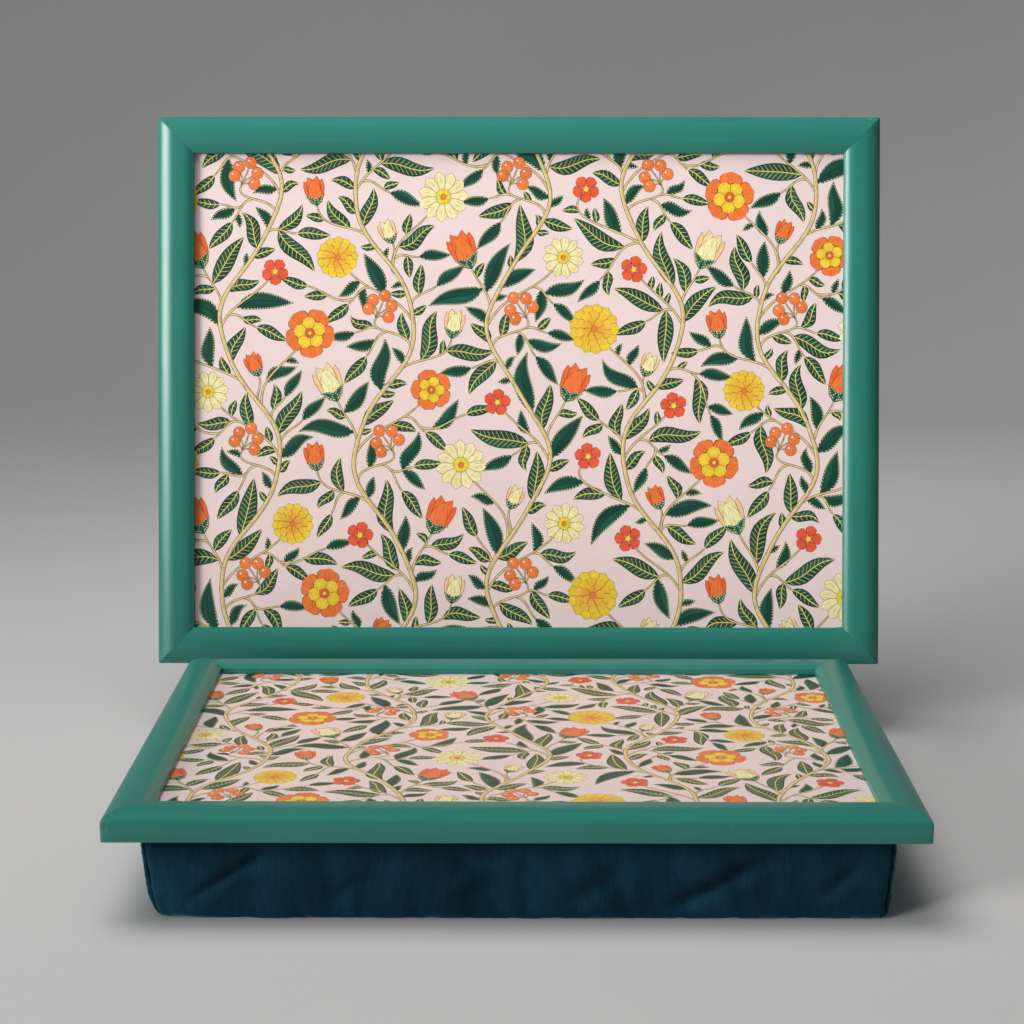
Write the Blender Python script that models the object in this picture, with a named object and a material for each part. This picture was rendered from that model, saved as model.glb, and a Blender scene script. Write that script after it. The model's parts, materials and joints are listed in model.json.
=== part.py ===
"""Lap desk with a lift lid: a framed tray on a filled cushion, and a framed lid hinged behind it.

Metres, +Z up, +Y to the back. The origin is the centre of the cushion's flat underside, and the
lid stands open on the stops of its hinges.
"""
import math

import bmesh
import bpy
from mathutils import Matrix, Vector

# Moulding that both frames are cut from
RAIL_W = 0.025  # across the rail
RAIL_H = 0.017  # from the back of the frame to the ridge of its crown
OUTER_FLAT = 0.0102  # flat part of the outer side
OUTER_ROUND = 0.0035  # how far the outer rounding reaches across the rail
CROWN = 0.0025  # fall of the crown from its ridge to the inner edge
INNER_ROUND = 0.0007
BACK_EDGE = 0.0006  # broken edges of the back
RABBET_W = 0.006
RABBET_DEPTH = 0.0106  # from the back of the frame
CORNER_CUT = 0.0012  # sanded outer corners
MITRE_GAP = 0.0003

# Sheets and boards in each frame's rabbet
GAP = 0.0003  # between pieces that touch
CUT_OVER = 0.001  # how far a cut starts outside the piece
SHEET_T = 0.0005
PANEL_T = 0.006
BOARD_EDGE = 0.0004

# Base
BASE_L = 0.440
BASE_D = 0.320
CUSHION_H = 0.049  # from the ground to the frame

# Lid, whose opening drops over the base frame
LID_PLAY = 0.00225  # around the base frame
LID_REST = 0.0005  # from the ridges of the base frame to the lid's print
OPEN_ANGLE = math.radians(100.5)

# Cushion
COVER_T = 0.001
COVER_TOP_INSET = 0.0193  # from the frame's outer edge to the seam under the frame
COVER_SIDE_INSET = 0.0165  # to the fullest part of the side
COVER_FOOT_INSET = 0.0215  # to the start of the lower rounding
COVER_FOOT_R = 0.0055
COVER_CORNER_R = 0.012
FLANGE_W = 0.015  # turned in under the cushion board
SEAM_ROLL = 0.0004  # at the upper edge of the side
# Side of the cushion: share of its height, and share of the way from the foot, or from the seam
# above the fullest part, out to the fullest part
COVER_SIDE = ((0.25, 0.45), (0.50, 0.80), (0.72, 0.97), (0.86, 1.00), (0.95, 0.75))
FULLEST = 0.86

# Staples that hold the flange
STAPLE_W = 0.010
STAPLE_WIRE = 0.0007
STAPLE_BREADTH = 0.0012
STAPLE_LEG = 0.0036
LONG_SIDE_COUNT = 3
SHORT_SIDE_COUNT = 2

# Corner nails
NAIL_LEG = 0.008
NAIL_T = 0.0008
NAIL_H = 0.008
NAIL_FROM_CORNER = 0.0075
NAIL_SINK = 0.0002  # below the back of the frame

# Hinges
HINGE_INSET = 0.080  # from the base frame's end to the middle of each hinge
HINGE_W = 0.044
LEAF_T = 0.0016
BARREL_R = 0.003
PIN_R = 0.0012
PIN_HEAD_R = 0.0021
PIN_HEAD_T = 0.0008
PIN_DROP = 0.0133  # below the ridge of the base frame
TONGUE_W = 0.020
FINGER_GAP = 0.0005  # between the barrels, and between a barrel and the other leaf's plate
FINGER_START = 0.014  # in front of the pin, where the plate splits into tongue and fingers
FINGER_SLIT = 0.0006  # each side of the tongue, more than the gap between the barrels
LEAF_LAP = 0.001  # overlap of shapes that are fused into one leaf
BASE_LEAF_REACH = 0.0145  # under the base rail
RAMP_RUN = 0.009
PAD_L = 0.011  # sloped end of the stop tongue
LID_LEAF_TOP = 0.0007  # below the back of the lid frame when closed

# Hinge screws
SCREW_R = 0.0013
SCREW_HEAD_R = 0.0026
SCREW_HEAD_T = 0.0012
SCREW_L = 0.0105
SCREW_RIM = 0.0002  # upright edge of the head
SCREW_POINT = 0.003  # tapered end
SCREW_FREE = 0.0008  # hole beyond the point
SCREW_SPACING = 0.028
SCREW_SLOT_W = 0.0007
SCREW_SLOT_D = 0.0006
SCREW_SEGMENTS = 20
FIRST_SLOT_TURN = math.radians(25)
SLOT_TURN = math.radians(40)  # from each screw's slot to the next one's

# Levels and places that follow from the sizes above
RIDGE_Z = CUSHION_H + RAIL_H
PRINT_TOP = RABBET_DEPTH - GAP  # above the back of a frame
RECESS = RAIL_H - PRINT_TOP
LID_L = BASE_L + 2 * (LID_PLAY + RAIL_W)
LID_D = BASE_D + 2 * (LID_PLAY + RAIL_W)
HINGE_X = BASE_L / 2 - HINGE_INSET
PIN_Y = LID_D / 2 + GAP - (BARREL_R - LEAF_T)
PIN_Z = RIDGE_Z - PIN_DROP
CLOSED_RIM_Z = RIDGE_Z + LID_REST - RECESS  # ridge of the closed lid's frame
CLOSED_BACK_Z = CLOSED_RIM_Z + RAIL_H


def clear_scene():
    for obj in list(bpy.data.objects):
        bpy.data.objects.remove(obj, do_unlink=True)


def material(name, colour, roughness, metallic=0.0):
    mat = bpy.data.materials.new(name)
    mat.use_nodes = True
    shader = mat.node_tree.nodes["Principled BSDF"]
    shader.inputs["Base Color"].default_value = (*colour, 1.0)
    shader.inputs["Roughness"].default_value = roughness
    shader.inputs["Metallic"].default_value = metallic
    mat.diffuse_color = (*colour, 1.0)
    return mat


def add_object(name, bm, mat=None, parent=None, place=None, smooth=None):
    """Makes an object of a bmesh and frees the bmesh."""
    bmesh.ops.recalc_face_normals(bm, faces=bm.faces[:])
    mesh = bpy.data.meshes.new(name)
    bm.to_mesh(mesh)
    bm.free()
    if smooth is not None:
        mesh.shade_smooth()
        mesh.set_sharp_from_angle(angle=math.radians(smooth))
    obj = bpy.data.objects.new(name, mesh)
    bpy.context.scene.collection.objects.link(obj)
    if mat is not None:
        mesh.materials.append(mat)
    if parent is not None:
        obj.parent = parent
    if place is not None:
        obj.matrix_local = place
    return obj


def add_copies(name, mesh, matrices, parent=None):
    """Makes an object of one shared mesh at each matrix, numbered from 1."""
    made = []
    for k, matrix in enumerate(matrices):
        obj = bpy.data.objects.new(f"{name}_{k + 1}", mesh)
        bpy.context.scene.collection.objects.link(obj)
        obj.parent = parent
        obj.matrix_local = matrix
        made.append(obj)
    return made


def shared_mesh(name, bm, mat, smooth=None):
    """Makes a mesh that several objects share, and frees the bmesh."""
    bmesh.ops.recalc_face_normals(bm, faces=bm.faces[:])
    mesh = bpy.data.meshes.new(name)
    bm.to_mesh(mesh)
    bm.free()
    if smooth is not None:
        mesh.shade_smooth()
        mesh.set_sharp_from_angle(angle=math.radians(smooth))
    mesh.materials.append(mat)
    return mesh


def add_empty(name, place):
    obj = bpy.data.objects.new(name, None)
    obj.empty_display_size = 0.03
    bpy.context.scene.collection.objects.link(obj)
    obj.matrix_local = place
    return obj


def cut(obj, name, bm, parent=None, place=None):
    """Takes the closed shells of a bmesh out of an object."""
    cutter = add_object(name, bm, parent=parent, place=place)
    cutter.hide_render = True
    cutter.display_type = "WIRE"
    modifier = obj.modifiers.new(name, "BOOLEAN")
    modifier.operation = "DIFFERENCE"
    modifier.solver = "EXACT"
    modifier.object = cutter
    return cutter


def join_to(obj, name, bm, parent=None, place=None):
    """Fuses a bmesh with an object as one piece of metal."""
    other = add_object(name, bm, parent=parent, place=place)
    other.hide_render = True
    other.display_type = "WIRE"
    modifier = obj.modifiers.new(name, "BOOLEAN")
    modifier.operation = "UNION"
    modifier.solver = "EXACT"
    modifier.object = other
    return other


def bevel(obj, width, segments=2, angle=40.0):
    modifier = obj.modifiers.new("broken edges", "BEVEL")
    modifier.width = width
    modifier.segments = segments
    modifier.limit_method = "ANGLE"
    modifier.angle_limit = math.radians(angle)
    return modifier


def add_box(bm, low, high, turn=None):
    """Adds a closed box between two corners, turned by an optional matrix."""
    size = Vector(high) - Vector(low)
    centre = (Vector(high) + Vector(low)) / 2
    matrix = Matrix.Translation(centre) @ Matrix.Diagonal((*size, 1.0))
    if turn is not None:
        matrix = turn @ matrix
    bmesh.ops.create_cube(bm, size=1.0, matrix=matrix)


def add_prism(bm, outline, low, high, to_point):
    """Adds a closed prism of an outline. to_point maps (a, b, along) to a point."""
    ends = []
    for along in (low, high):
        ends.append([bm.verts.new(to_point(a, b, along)) for a, b in outline])
    first, last = ends
    count = len(outline)
    for i in range(count):
        j = (i + 1) % count
        bm.faces.new((first[i], first[j], last[j], last[i]))
    bm.faces.new(first[::-1])
    bm.faces.new(last)


def add_turned(bm, profile, segments, matrix):
    """Adds a closed turned solid from (radius, height) pairs, whose end radii are zero."""
    rings = []
    for radius, height in profile:
        if radius == 0:
            rings.append([bm.verts.new(matrix @ Vector((0, 0, height)))])
            continue
        ring = []
        for k in range(segments):
            angle = 2 * math.pi * k / segments
            point = Vector((radius * math.cos(angle), radius * math.sin(angle), height))
            ring.append(bm.verts.new(matrix @ point))
        rings.append(ring)
    for lower, upper in zip(rings, rings[1:]):
        for k in range(segments):
            m = (k + 1) % segments
            if len(lower) == 1:
                bm.faces.new((lower[0], upper[m], upper[k]))
            elif len(upper) == 1:
                bm.faces.new((lower[k], lower[m], upper[0]))
            else:
                bm.faces.new((lower[k], lower[m], upper[m], upper[k]))


def z_prism(matrix):
    """Maps a plan outline to a prism along a matrix's own Z."""
    def to_point(a, b, along):
        return matrix @ Vector((a, b, along))
    return to_point


def x_prism(a, b, along):
    """Maps a side outline in (y, z) to a prism along X."""
    return (along, a, b)


def rounded_ring(half_x, half_y, radius, z, steps=6):
    """Points of a rectangle with round corners."""
    points = []
    for corner in range(4):
        sign_x = (1, -1, -1, 1)[corner]
        sign_y = (1, 1, -1, -1)[corner]
        for k in range(steps + 1):
            angle = math.pi / 2 * (corner + k / steps)
            x = sign_x * (half_x - radius) + radius * math.cos(angle)
            y = sign_y * (half_y - radius) + radius * math.sin(angle)
            points.append(Vector((x, y, z)))
    return points


def add_loft(bm, rings):
    """Adds a closed solid through rings of equal count, with a flat cap at each end."""
    made = [[bm.verts.new(point) for point in ring] for ring in rings]
    count = len(made[0])
    for lower, upper in zip(made, made[1:]):
        for i in range(count):
            j = (i + 1) % count
            bm.faces.new((lower[i], lower[j], upper[j], upper[i]))
    bm.faces.new(made[0][::-1])
    bm.faces.new(made[-1])


def moulding_profile():
    """Cross-section of the moulding as (in from the outer side, up from the back)."""
    points = [(BACK_EDGE, 0.0), (0.0, BACK_EDGE), (0.0, OUTER_FLAT)]
    shoulder = RAIL_H - CROWN
    half = RAIL_W / 2
    inner = half - INNER_ROUND
    outer = half - OUTER_ROUND
    # The rounding leaves the outer side upright and meets the crown at the crown's own slope
    knee = shoulder - OUTER_ROUND * 2 * CROWN / outer
    for k in range(1, 8):
        t = k / 8
        across = OUTER_ROUND * t * t
        up = OUTER_FLAT * (1 - t) ** 2 + knee * 2 * t * (1 - t) + shoulder * t * t
        points.append((across, up))
    for k in range(15):
        t = -1 + 2 * k / 14
        reach = outer if t < 0 else inner
        points.append((half + t * reach, RAIL_H - CROWN * t * t))
    for k in range(1, 4):
        angle = math.pi / 2 * k / 3
        across = RAIL_W - INNER_ROUND * (1 - math.sin(angle))
        up = shoulder - INNER_ROUND * (1 - math.cos(angle))
        points.append((across, up))
    points.append((RAIL_W, RABBET_DEPTH))
    points.append((RAIL_W - RABBET_W, RABBET_DEPTH))
    points.append((RAIL_W - RABBET_W, 0.0))
    return points


def rail_mesh(length, depth):
    """One mitred rail along X. Its outer side faces -Y at -depth/2 and its back is at z = 0."""
    bm = bmesh.new()
    profile = moulding_profile()
    shift = MITRE_GAP / math.sqrt(2)
    rings = []
    for side in (-1, 1):
        skin = []
        mitre = []
        for u, v in profile:
            reach = max(u, CORNER_CUT - u)
            skin.append((side * (length / 2 - shift - reach), -depth / 2 + u, v))
            inset = max(u, CORNER_CUT / 2)
            mitre.append((side * (length / 2 - shift - inset), -depth / 2 + inset, v))
        rings += [mitre, skin] if side < 0 else [skin, mitre]
    made = [[bm.verts.new(point) for point in ring] for ring in rings]
    count = len(profile)
    for lower, upper in zip(made, made[1:]):
        for i in range(count):
            j = (i + 1) % count
            bm.faces.new((lower[i], lower[j], upper[j], upper[i]))
    bm.faces.new(made[0][::-1])
    bm.faces.new(made[-1])
    bmesh.ops.remove_doubles(bm, verts=bm.verts[:], dist=1e-6)
    bmesh.ops.dissolve_degenerate(bm, dist=1e-6, edges=bm.edges[:])
    return bm


def nail_outline(grow):
    """Plan of a corner nail: two legs at a right angle, with the apex at the origin."""
    t = NAIL_T / 2 + grow
    leg = NAIL_LEG + grow
    return [(-t, -t), (leg, -t), (leg, t), (t, t), (t, leg), (-t, leg)]


def nail_places(length, depth):
    """Matrix of the nail in each corner, anticlockwise from -X and -Y. Its legs lie along the rails."""
    places = []
    for k, (sx, sy) in enumerate(((-1, -1), (1, -1), (1, 1), (-1, 1))):
        x = sx * (length / 2 - NAIL_FROM_CORNER)
        y = sy * (depth / 2 - NAIL_FROM_CORNER)
        turn = Matrix.Rotation(math.pi / 2 * k, 4, "Z")
        places.append(Matrix.Translation((x, y, 0)) @ turn)
    return places


def make_frame(prefix, sides, length, depth, place, parent, mat, nail_mat):
    """Four mitred rails and their corner nails. The frame lies on its back at z = 0.

    sides names the rails anticlockwise from the one at -Y.
    """
    nails = nail_places(length, depth)
    rails = {}
    for k, side in enumerate(sides):
        name = prefix + "_rail_" + side
        long, across = (length, depth) if k % 2 == 0 else (depth, length)
        matrix = place @ Matrix.Rotation(math.pi / 2 * k, 4, "Z")
        rail = add_object(name, rail_mesh(long, across), mat, parent, matrix, smooth=32)
        bm = bmesh.new()
        for corner in (k, (k + 1) % 4):
            add_prism(bm, nail_outline(GAP), -CUT_OVER, NAIL_H + GAP, z_prism(nails[corner]))
        cut(rail, "cut_" + name + "_nails", bm, parent, place)
        rails[side] = rail
    bm = bmesh.new()
    add_prism(bm, nail_outline(0.0), NAIL_SINK, NAIL_H, z_prism(Matrix()))
    mesh = shared_mesh(prefix + "_corner_nail", bm, nail_mat)
    add_copies(prefix + "_corner_nail", mesh, [place @ nail for nail in nails], parent)
    return rails


def make_slab(name, half_x, half_y, low, high, mat, parent, place, edge):
    bm = bmesh.new()
    add_box(bm, (-half_x, -half_y, low), (half_x, half_y, high))
    slab = add_object(name, bm, mat, parent, place)
    if edge:
        bevel(slab, edge, 1)
    return slab


def make_stack(names, length, depth, place, parent, mats):
    """Print sheet, panel and back board in a frame's rabbet, flush with the frame's back."""
    half_x = length / 2 - RAIL_W + RABBET_W - GAP
    half_y = depth / 2 - RAIL_W + RABBET_W - GAP
    top = PRINT_TOP
    made = []
    levels = (
        (top - SHEET_T, top, 0.0),
        (top - SHEET_T - GAP - PANEL_T, top - SHEET_T - GAP, BOARD_EDGE),
        (0.0, top - SHEET_T - 2 * GAP - PANEL_T, BOARD_EDGE),
    )
    for name, mat, (low, high, edge) in zip(names, mats, levels):
        made.append(make_slab(name, half_x, half_y, low, high, mat, parent, place, edge))
    return made


def cover_rings(shrink, low, high):
    """Rings of the cushion's skin from its foot to its top, shrunk inwards all round."""
    rings = []
    foot = COVER_FOOT_INSET
    for k in range(5):
        angle = math.pi / 2 * k / 4
        inset = foot + COVER_FOOT_R * (1 - math.sin(angle))
        z = COVER_FOOT_R * (1 - math.cos(angle))
        rings.append((inset, z))
    for height, full in COVER_SIDE:
        base = foot if height < FULLEST else COVER_TOP_INSET
        inset = base + (COVER_SIDE_INSET - base) * full
        rings.append((inset, height * CUSHION_H))
    rings.append((COVER_TOP_INSET + SEAM_ROLL, CUSHION_H - GAP))
    points = []
    span = CUSHION_H - GAP
    for inset, z in rings:
        level = low + (high - low) * z / span
        half_x = BASE_L / 2 - inset - shrink
        half_y = BASE_D / 2 - inset - shrink
        radius = COVER_CORNER_R - 0.5 * shrink
        points.append(rounded_ring(half_x, half_y, radius, level))
    return points


def staple_places():
    """Matrix of each staple along the middle of the flange, its own X along the edge."""
    half_x = BASE_L / 2 - COVER_TOP_INSET - FLANGE_W / 2
    half_y = BASE_D / 2 - COVER_TOP_INSET - FLANGE_W / 2
    places = []
    long_sides = (0, half_y, half_x, LONG_SIDE_COUNT)
    short_sides = (90, half_x, half_y, SHORT_SIDE_COUNT)
    for first, half, run, count in (long_sides, short_sides):
        for turn in (first, first + 180):
            for k in range(count):
                along = run * 2 * ((k + 0.5) / count - 0.5)
                matrix = Matrix.Rotation(math.radians(turn), 4, "Z")
                places.append(matrix @ Matrix.Translation((along, -half, 0)))
    return places


def make_cushion(mats):
    """Cover with a turned-in flange, its filling, and the staples up into the cushion board."""
    flange_top = CUSHION_H - GAP
    flange_low = flange_top - COVER_T
    bm = bmesh.new()
    outer = cover_rings(0.0, 0.0, flange_top)
    inner = cover_rings(COVER_T, COVER_T, flange_low)
    lip_x = BASE_L / 2 - COVER_TOP_INSET - FLANGE_W
    lip_y = BASE_D / 2 - COVER_TOP_INSET - FLANGE_W
    lip = [
        rounded_ring(lip_x, lip_y, COVER_CORNER_R / 2, flange_low),
        rounded_ring(lip_x, lip_y, COVER_CORNER_R / 2, flange_top),
    ]
    add_loft(bm, inner + lip + outer[::-1])
    cover = add_object("cushion_cover", bm, mats["cover"], smooth=50)

    crown_top = flange_low - GAP
    crown_low = crown_top - STAPLE_WIRE
    fill_top = crown_low - GAP
    bm = bmesh.new()
    slack = COVER_T + GAP
    add_loft(bm, cover_rings(slack, slack, fill_top))
    add_object("cushion_filling", bm, mats["filling"], smooth=50)

    bm = bmesh.new()
    w = STAPLE_W / 2
    t = STAPLE_WIRE
    tip = crown_top + STAPLE_LEG
    outline = [
        (-w, crown_low),
        (w, crown_low),
        (w, tip),
        (w - t, tip),
        (w - t, crown_top),
        (-w + t, crown_top),
        (-w + t, tip),
        (-w, tip),
    ]
    half = STAPLE_BREADTH / 2
    add_prism(bm, outline, -half, half, lambda a, b, along: (a, along, b))
    mesh = shared_mesh("cushion_staple", bm, mats["staple"])
    add_copies("cushion_staple", mesh, staple_places())
    return cover, tip


def staple_leg_holes(low, high):
    bm = bmesh.new()
    reach = STAPLE_W / 2 - STAPLE_WIRE / 2
    half_a = STAPLE_WIRE / 2 + GAP
    half_b = STAPLE_BREADTH / 2 + GAP
    for matrix in staple_places():
        for mid in (-reach, reach):
            corner = (mid - half_a, -half_b, low)
            other = (mid + half_a, half_b, high)
            add_box(bm, corner, other, matrix)
    return bm


def base_leaf_parts():
    """Side outlines of the base leaf, from the pin's axis: plate, stop tongue and finger."""
    top = CUSHION_H - GAP - PIN_Z
    low = top - LEAF_T
    front = BASE_D / 2 - BASE_LEAF_REACH - PIN_Y
    mid = -FINGER_START
    plate = [(front, low), (mid, low), (mid, top), (front, top)]
    lean = OPEN_ANGLE - math.pi / 2
    # Level where the open lid leaf's outer face crosses the tongue's top, less the rest gap
    drop = -BARREL_R / math.cos(lean) - (top + GAP)
    meet = drop / math.tan(lean)
    end = meet + PAD_L * math.cos(lean)
    end_drop = PAD_L * math.sin(lean)
    back = mid - LEAF_LAP
    tongue = [
        (back, low),
        (meet, low),
        (end, low - end_drop),
        (end, top - end_drop),
        (meet, top),
        (back, top),
    ]
    foot = -RAMP_RUN
    finger = [(back, low), (foot, low)]
    steps = 18
    start = math.radians(-70)
    stop = math.radians(190)
    for k in range(steps + 1):
        angle = start + (stop - start) * k / steps
        finger.append((BARREL_R * math.cos(angle), BARREL_R * math.sin(angle)))
    finger += [(foot - LEAF_LAP, top), (back, top)]
    return plate, tongue, finger


def screw_profile():
    """Countersunk wood screw, head up, its flat face at zero."""
    return [
        (0.0, 0.0),
        (SCREW_HEAD_R, 0.0),
        (SCREW_HEAD_R, -SCREW_RIM),
        (SCREW_R, -SCREW_HEAD_T),
        (SCREW_R, SCREW_POINT - SCREW_L),
        (SCREW_R * 0.4, SCREW_RIM - SCREW_L),
        (0.0, -SCREW_L),
    ]


def screw_hole_profile(depth):
    """Countersink and hole for a screw, started a little above the leaf's face."""
    slope = (SCREW_HEAD_R - SCREW_R) / (SCREW_HEAD_T - SCREW_RIM)
    wide = SCREW_HEAD_R + GAP + slope * (CUT_OVER - SCREW_RIM)
    return [
        (0.0, CUT_OVER),
        (wide, CUT_OVER),
        (SCREW_R + GAP, -SCREW_HEAD_T),
        (SCREW_R + GAP, -depth),
        (0.0, -depth),
    ]


def screw_places(x, low_side):
    """Matrices of a leaf's two screws, whose own +Z is out of the wood."""
    places = []
    for side in (-1, 1):
        along = x + side * SCREW_SPACING / 2
        if low_side:
            y = BASE_D / 2 - BASE_LEAF_REACH / 2
            z = CUSHION_H - GAP - LEAF_T
            turn = Matrix.Rotation(math.pi, 4, "X")
            places.append(Matrix.Translation((along, y, z)) @ turn)
        else:
            y = BARREL_R
            z = CLOSED_BACK_Z - PIN_Z - OUTER_FLAT / 2
            turn = Matrix.Rotation(-math.pi / 2, 4, "X")
            places.append(Matrix.Translation((along, y, z)) @ turn)
    return places


def make_screws(name, matrices, parent, mat):
    """Slotted screws that share a mesh, each with its slot at its own angle."""
    bm = bmesh.new()
    add_turned(bm, screw_profile(), SCREW_SEGMENTS, Matrix())
    mesh = shared_mesh(name, bm, mat, smooth=35)
    half = SCREW_SLOT_W / 2
    reach = SCREW_HEAD_R + CUT_OVER
    for k, screw in enumerate(add_copies(name, mesh, matrices, parent)):
        bm = bmesh.new()
        add_box(bm, (-reach, -half, -SCREW_SLOT_D), (reach, half, CUT_OVER))
        turn = Matrix.Rotation(FIRST_SLOT_TURN + SLOT_TURN * k, 4, "Z")
        cut(screw, f"cut_{screw.name}_slot", bm, screw, turn)


def screw_holes(matrices, depth):
    bm = bmesh.new()
    for matrix in matrices:
        add_turned(bm, screw_hole_profile(depth), SCREW_SEGMENTS, matrix)
    return bm


def make_hinge(side, x, lid, mats):
    """A stop hinge: base leaf with two barrels and a tongue, lid leaf with one barrel, and a pin."""
    prefix = "hinge_" + side
    axis = Matrix.Translation((x, PIN_Y, PIN_Z))
    plate, tongue, finger = base_leaf_parts()
    half = HINGE_W / 2
    bm = bmesh.new()
    add_prism(bm, plate, -half, half, x_prism)
    leaf = add_object(prefix + "_base_leaf", bm, mats["hinge"], None, axis, smooth=35)
    bm = bmesh.new()
    add_prism(bm, tongue, -TONGUE_W / 2, TONGUE_W / 2, x_prism)
    inner = TONGUE_W / 2 + FINGER_GAP + FINGER_SLIT
    for sign in (-1, 1):
        ends = sorted((sign * inner, sign * half))
        add_prism(bm, finger, ends[0], ends[1], x_prism)
    join_to(leaf, "join_" + prefix + "_fingers", bm, None, axis)
    bore = bmesh.new()
    across = Matrix.Rotation(math.pi / 2, 4, "Y")
    reach = half + CUT_OVER
    profile = [(0.0, -reach), (PIN_R + GAP, -reach), (PIN_R + GAP, reach), (0.0, reach)]
    add_turned(bore, profile, 24, across)
    cut(leaf, "cut_" + prefix + "_base_bore", bore, None, axis)
    low_screws = screw_places(x, True)
    cut(leaf, "cut_" + prefix + "_base_holes", screw_holes(low_screws, LEAF_T + CUT_OVER))

    # Lid leaf, laid out as when the lid is closed
    place = Matrix.Translation((x, 0, 0))
    plate_low = BARREL_R + FINGER_GAP
    plate_top = CLOSED_BACK_Z - LID_LEAF_TOP - PIN_Z
    near = BARREL_R - LEAF_T
    bm = bmesh.new()
    add_box(bm, (-half, near, plate_low), (half, BARREL_R, plate_top))
    lid_leaf = add_object(prefix + "_lid_leaf", bm, mats["hinge"], lid, place, smooth=35)
    outline = [(BARREL_R, plate_low + LEAF_LAP), (near, plate_low + LEAF_LAP)]
    steps = 20
    start = math.acos(near / BARREL_R)
    for k in range(steps + 1):
        angle = start + (2 * math.pi - start) * k / steps
        outline.append((BARREL_R * math.cos(angle), BARREL_R * math.sin(angle)))
    bm = bmesh.new()
    add_prism(bm, outline, -TONGUE_W / 2, TONGUE_W / 2, x_prism)
    join_to(lid_leaf, "join_" + prefix + "_barrel", bm, lid, place)
    bore = bmesh.new()
    add_turned(bore, profile, 24, across)
    cut(lid_leaf, "cut_" + prefix + "_lid_bore", bore, lid, place)
    high_screws = screw_places(x, False)
    cut(lid_leaf, "cut_" + prefix + "_lid_holes", screw_holes(high_screws, LEAF_T + CUT_OVER), lid)

    pin = bmesh.new()
    body = half + GAP
    head = body + PIN_HEAD_T
    profile = [
        (0.0, -head),
        (PIN_HEAD_R * 0.7, -head),
        (PIN_HEAD_R, -head + PIN_HEAD_T * 0.45),
        (PIN_HEAD_R, -body),
        (PIN_R, -body),
        (PIN_R, body),
        (PIN_HEAD_R, body),
        (PIN_HEAD_R, head - PIN_HEAD_T * 0.45),
        (PIN_HEAD_R * 0.7, head),
        (0.0, head),
    ]
    add_turned(pin, profile, 24, across)
    add_object(prefix + "_pin", pin, mats["pin"], None, axis, smooth=35)
    return low_screws, high_screws


def main():
    clear_scene()
    mats = {
        "base_frame": material("base frame paint", (0.035, 0.215, 0.175), 0.38),
        "lid_frame": material("lid frame paint", (0.035, 0.215, 0.175), 0.38),
        "base_print": material("base print laminate", (0.72, 0.60, 0.57), 0.35),
        "lid_print": material("lid print laminate", (0.72, 0.60, 0.57), 0.35),
        "panel": material("panel board", (0.42, 0.29, 0.17), 0.8),
        "cushion_board": material("cushion board", (0.32, 0.21, 0.12), 0.8),
        "writing": material("writing board paint", (0.035, 0.215, 0.175), 0.38),
        "cover": material("cushion cloth", (0.008, 0.035, 0.055), 0.9),
        "filling": material("bead filling", (0.85, 0.85, 0.83), 0.9),
        "hinge": material("hinge steel", (0.55, 0.55, 0.55), 0.35, 1.0),
        "pin": material("hinge pin steel", (0.62, 0.62, 0.62), 0.25, 1.0),
        "screw": material("screw steel", (0.60, 0.60, 0.60), 0.3, 1.0),
        "staple": material("staple steel", (0.60, 0.60, 0.60), 0.3, 1.0),
        "nail": material("corner nail steel", (0.50, 0.50, 0.50), 0.4, 1.0),
    }

    # Base frame, its boards and its cushion
    base_place = Matrix.Translation((0, 0, CUSHION_H))
    sides = ("front", "right", "back", "left")
    rails = make_frame("base", sides, BASE_L, BASE_D, base_place, None, mats["base_frame"], mats["nail"])
    names = ("base_print_sheet", "base_panel", "cushion_board")
    stack_mats = (mats["base_print"], mats["panel"], mats["cushion_board"])
    boards = make_stack(names, BASE_L, BASE_D, base_place, None, stack_mats)
    cover, tip = make_cushion(mats)
    low = CUSHION_H - GAP - COVER_T - CUT_OVER / 2
    cut(cover, "cut_cover_staples", staple_leg_holes(low, CUSHION_H))
    cut(boards[2], "cut_board_staples", staple_leg_holes(CUSHION_H - CUT_OVER, tip + GAP))

    # Lid on its axis, laid out closed and face down, and turned back until it stands on the stops
    turn = Matrix.Rotation(-OPEN_ANGLE, 4, "X")
    lid = add_empty("lid_axis", Matrix.Translation((0, PIN_Y, PIN_Z)) @ turn)
    flip = Matrix.Rotation(math.pi, 4, "Y")
    lid_place = Matrix.Translation((0, -PIN_Y, CLOSED_BACK_Z - PIN_Z)) @ flip
    sides = ("front", "left", "back", "right")
    lid_rails = make_frame("lid", sides, LID_L, LID_D, lid_place, lid, mats["lid_frame"], mats["nail"])
    names = ("lid_print_sheet", "lid_panel", "writing_board")
    stack_mats = (mats["lid_print"], mats["panel"], mats["writing"])
    make_stack(names, LID_L, LID_D, lid_place, lid, stack_mats)

    # Hinges and their screws
    low_screws = []
    high_screws = []
    for side, x in (("left", -HINGE_X), ("right", HINGE_X)):
        low, high = make_hinge(side, x, lid, mats)
        low_screws += low
        high_screws += high
    make_screws("base_hinge_screw", low_screws, None, mats["screw"])
    make_screws("lid_hinge_screw", high_screws, lid, mats["screw"])
    hole_depth = SCREW_L + SCREW_FREE
    cut(rails["back"], "cut_base_rail_screws", screw_holes(low_screws, hole_depth))
    cut(lid_rails["back"], "cut_lid_rail_screws", screw_holes(high_screws, hole_depth), lid)


main()
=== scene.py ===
"""Finishes of a cushioned lap desk with a lift lid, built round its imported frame.

Metres, +Z up, +Y to the back. The print's own design is drawn in millimetres and then scaled.
"""

import json
import math
import random

import bmesh
import bpy
import numpy as np
from bpy.props import FloatProperty, FloatVectorProperty, IntProperty, PointerProperty
from mathutils import Matrix, Vector, noise
from mathutils.geometry import delaunay_2d_cdt


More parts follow.
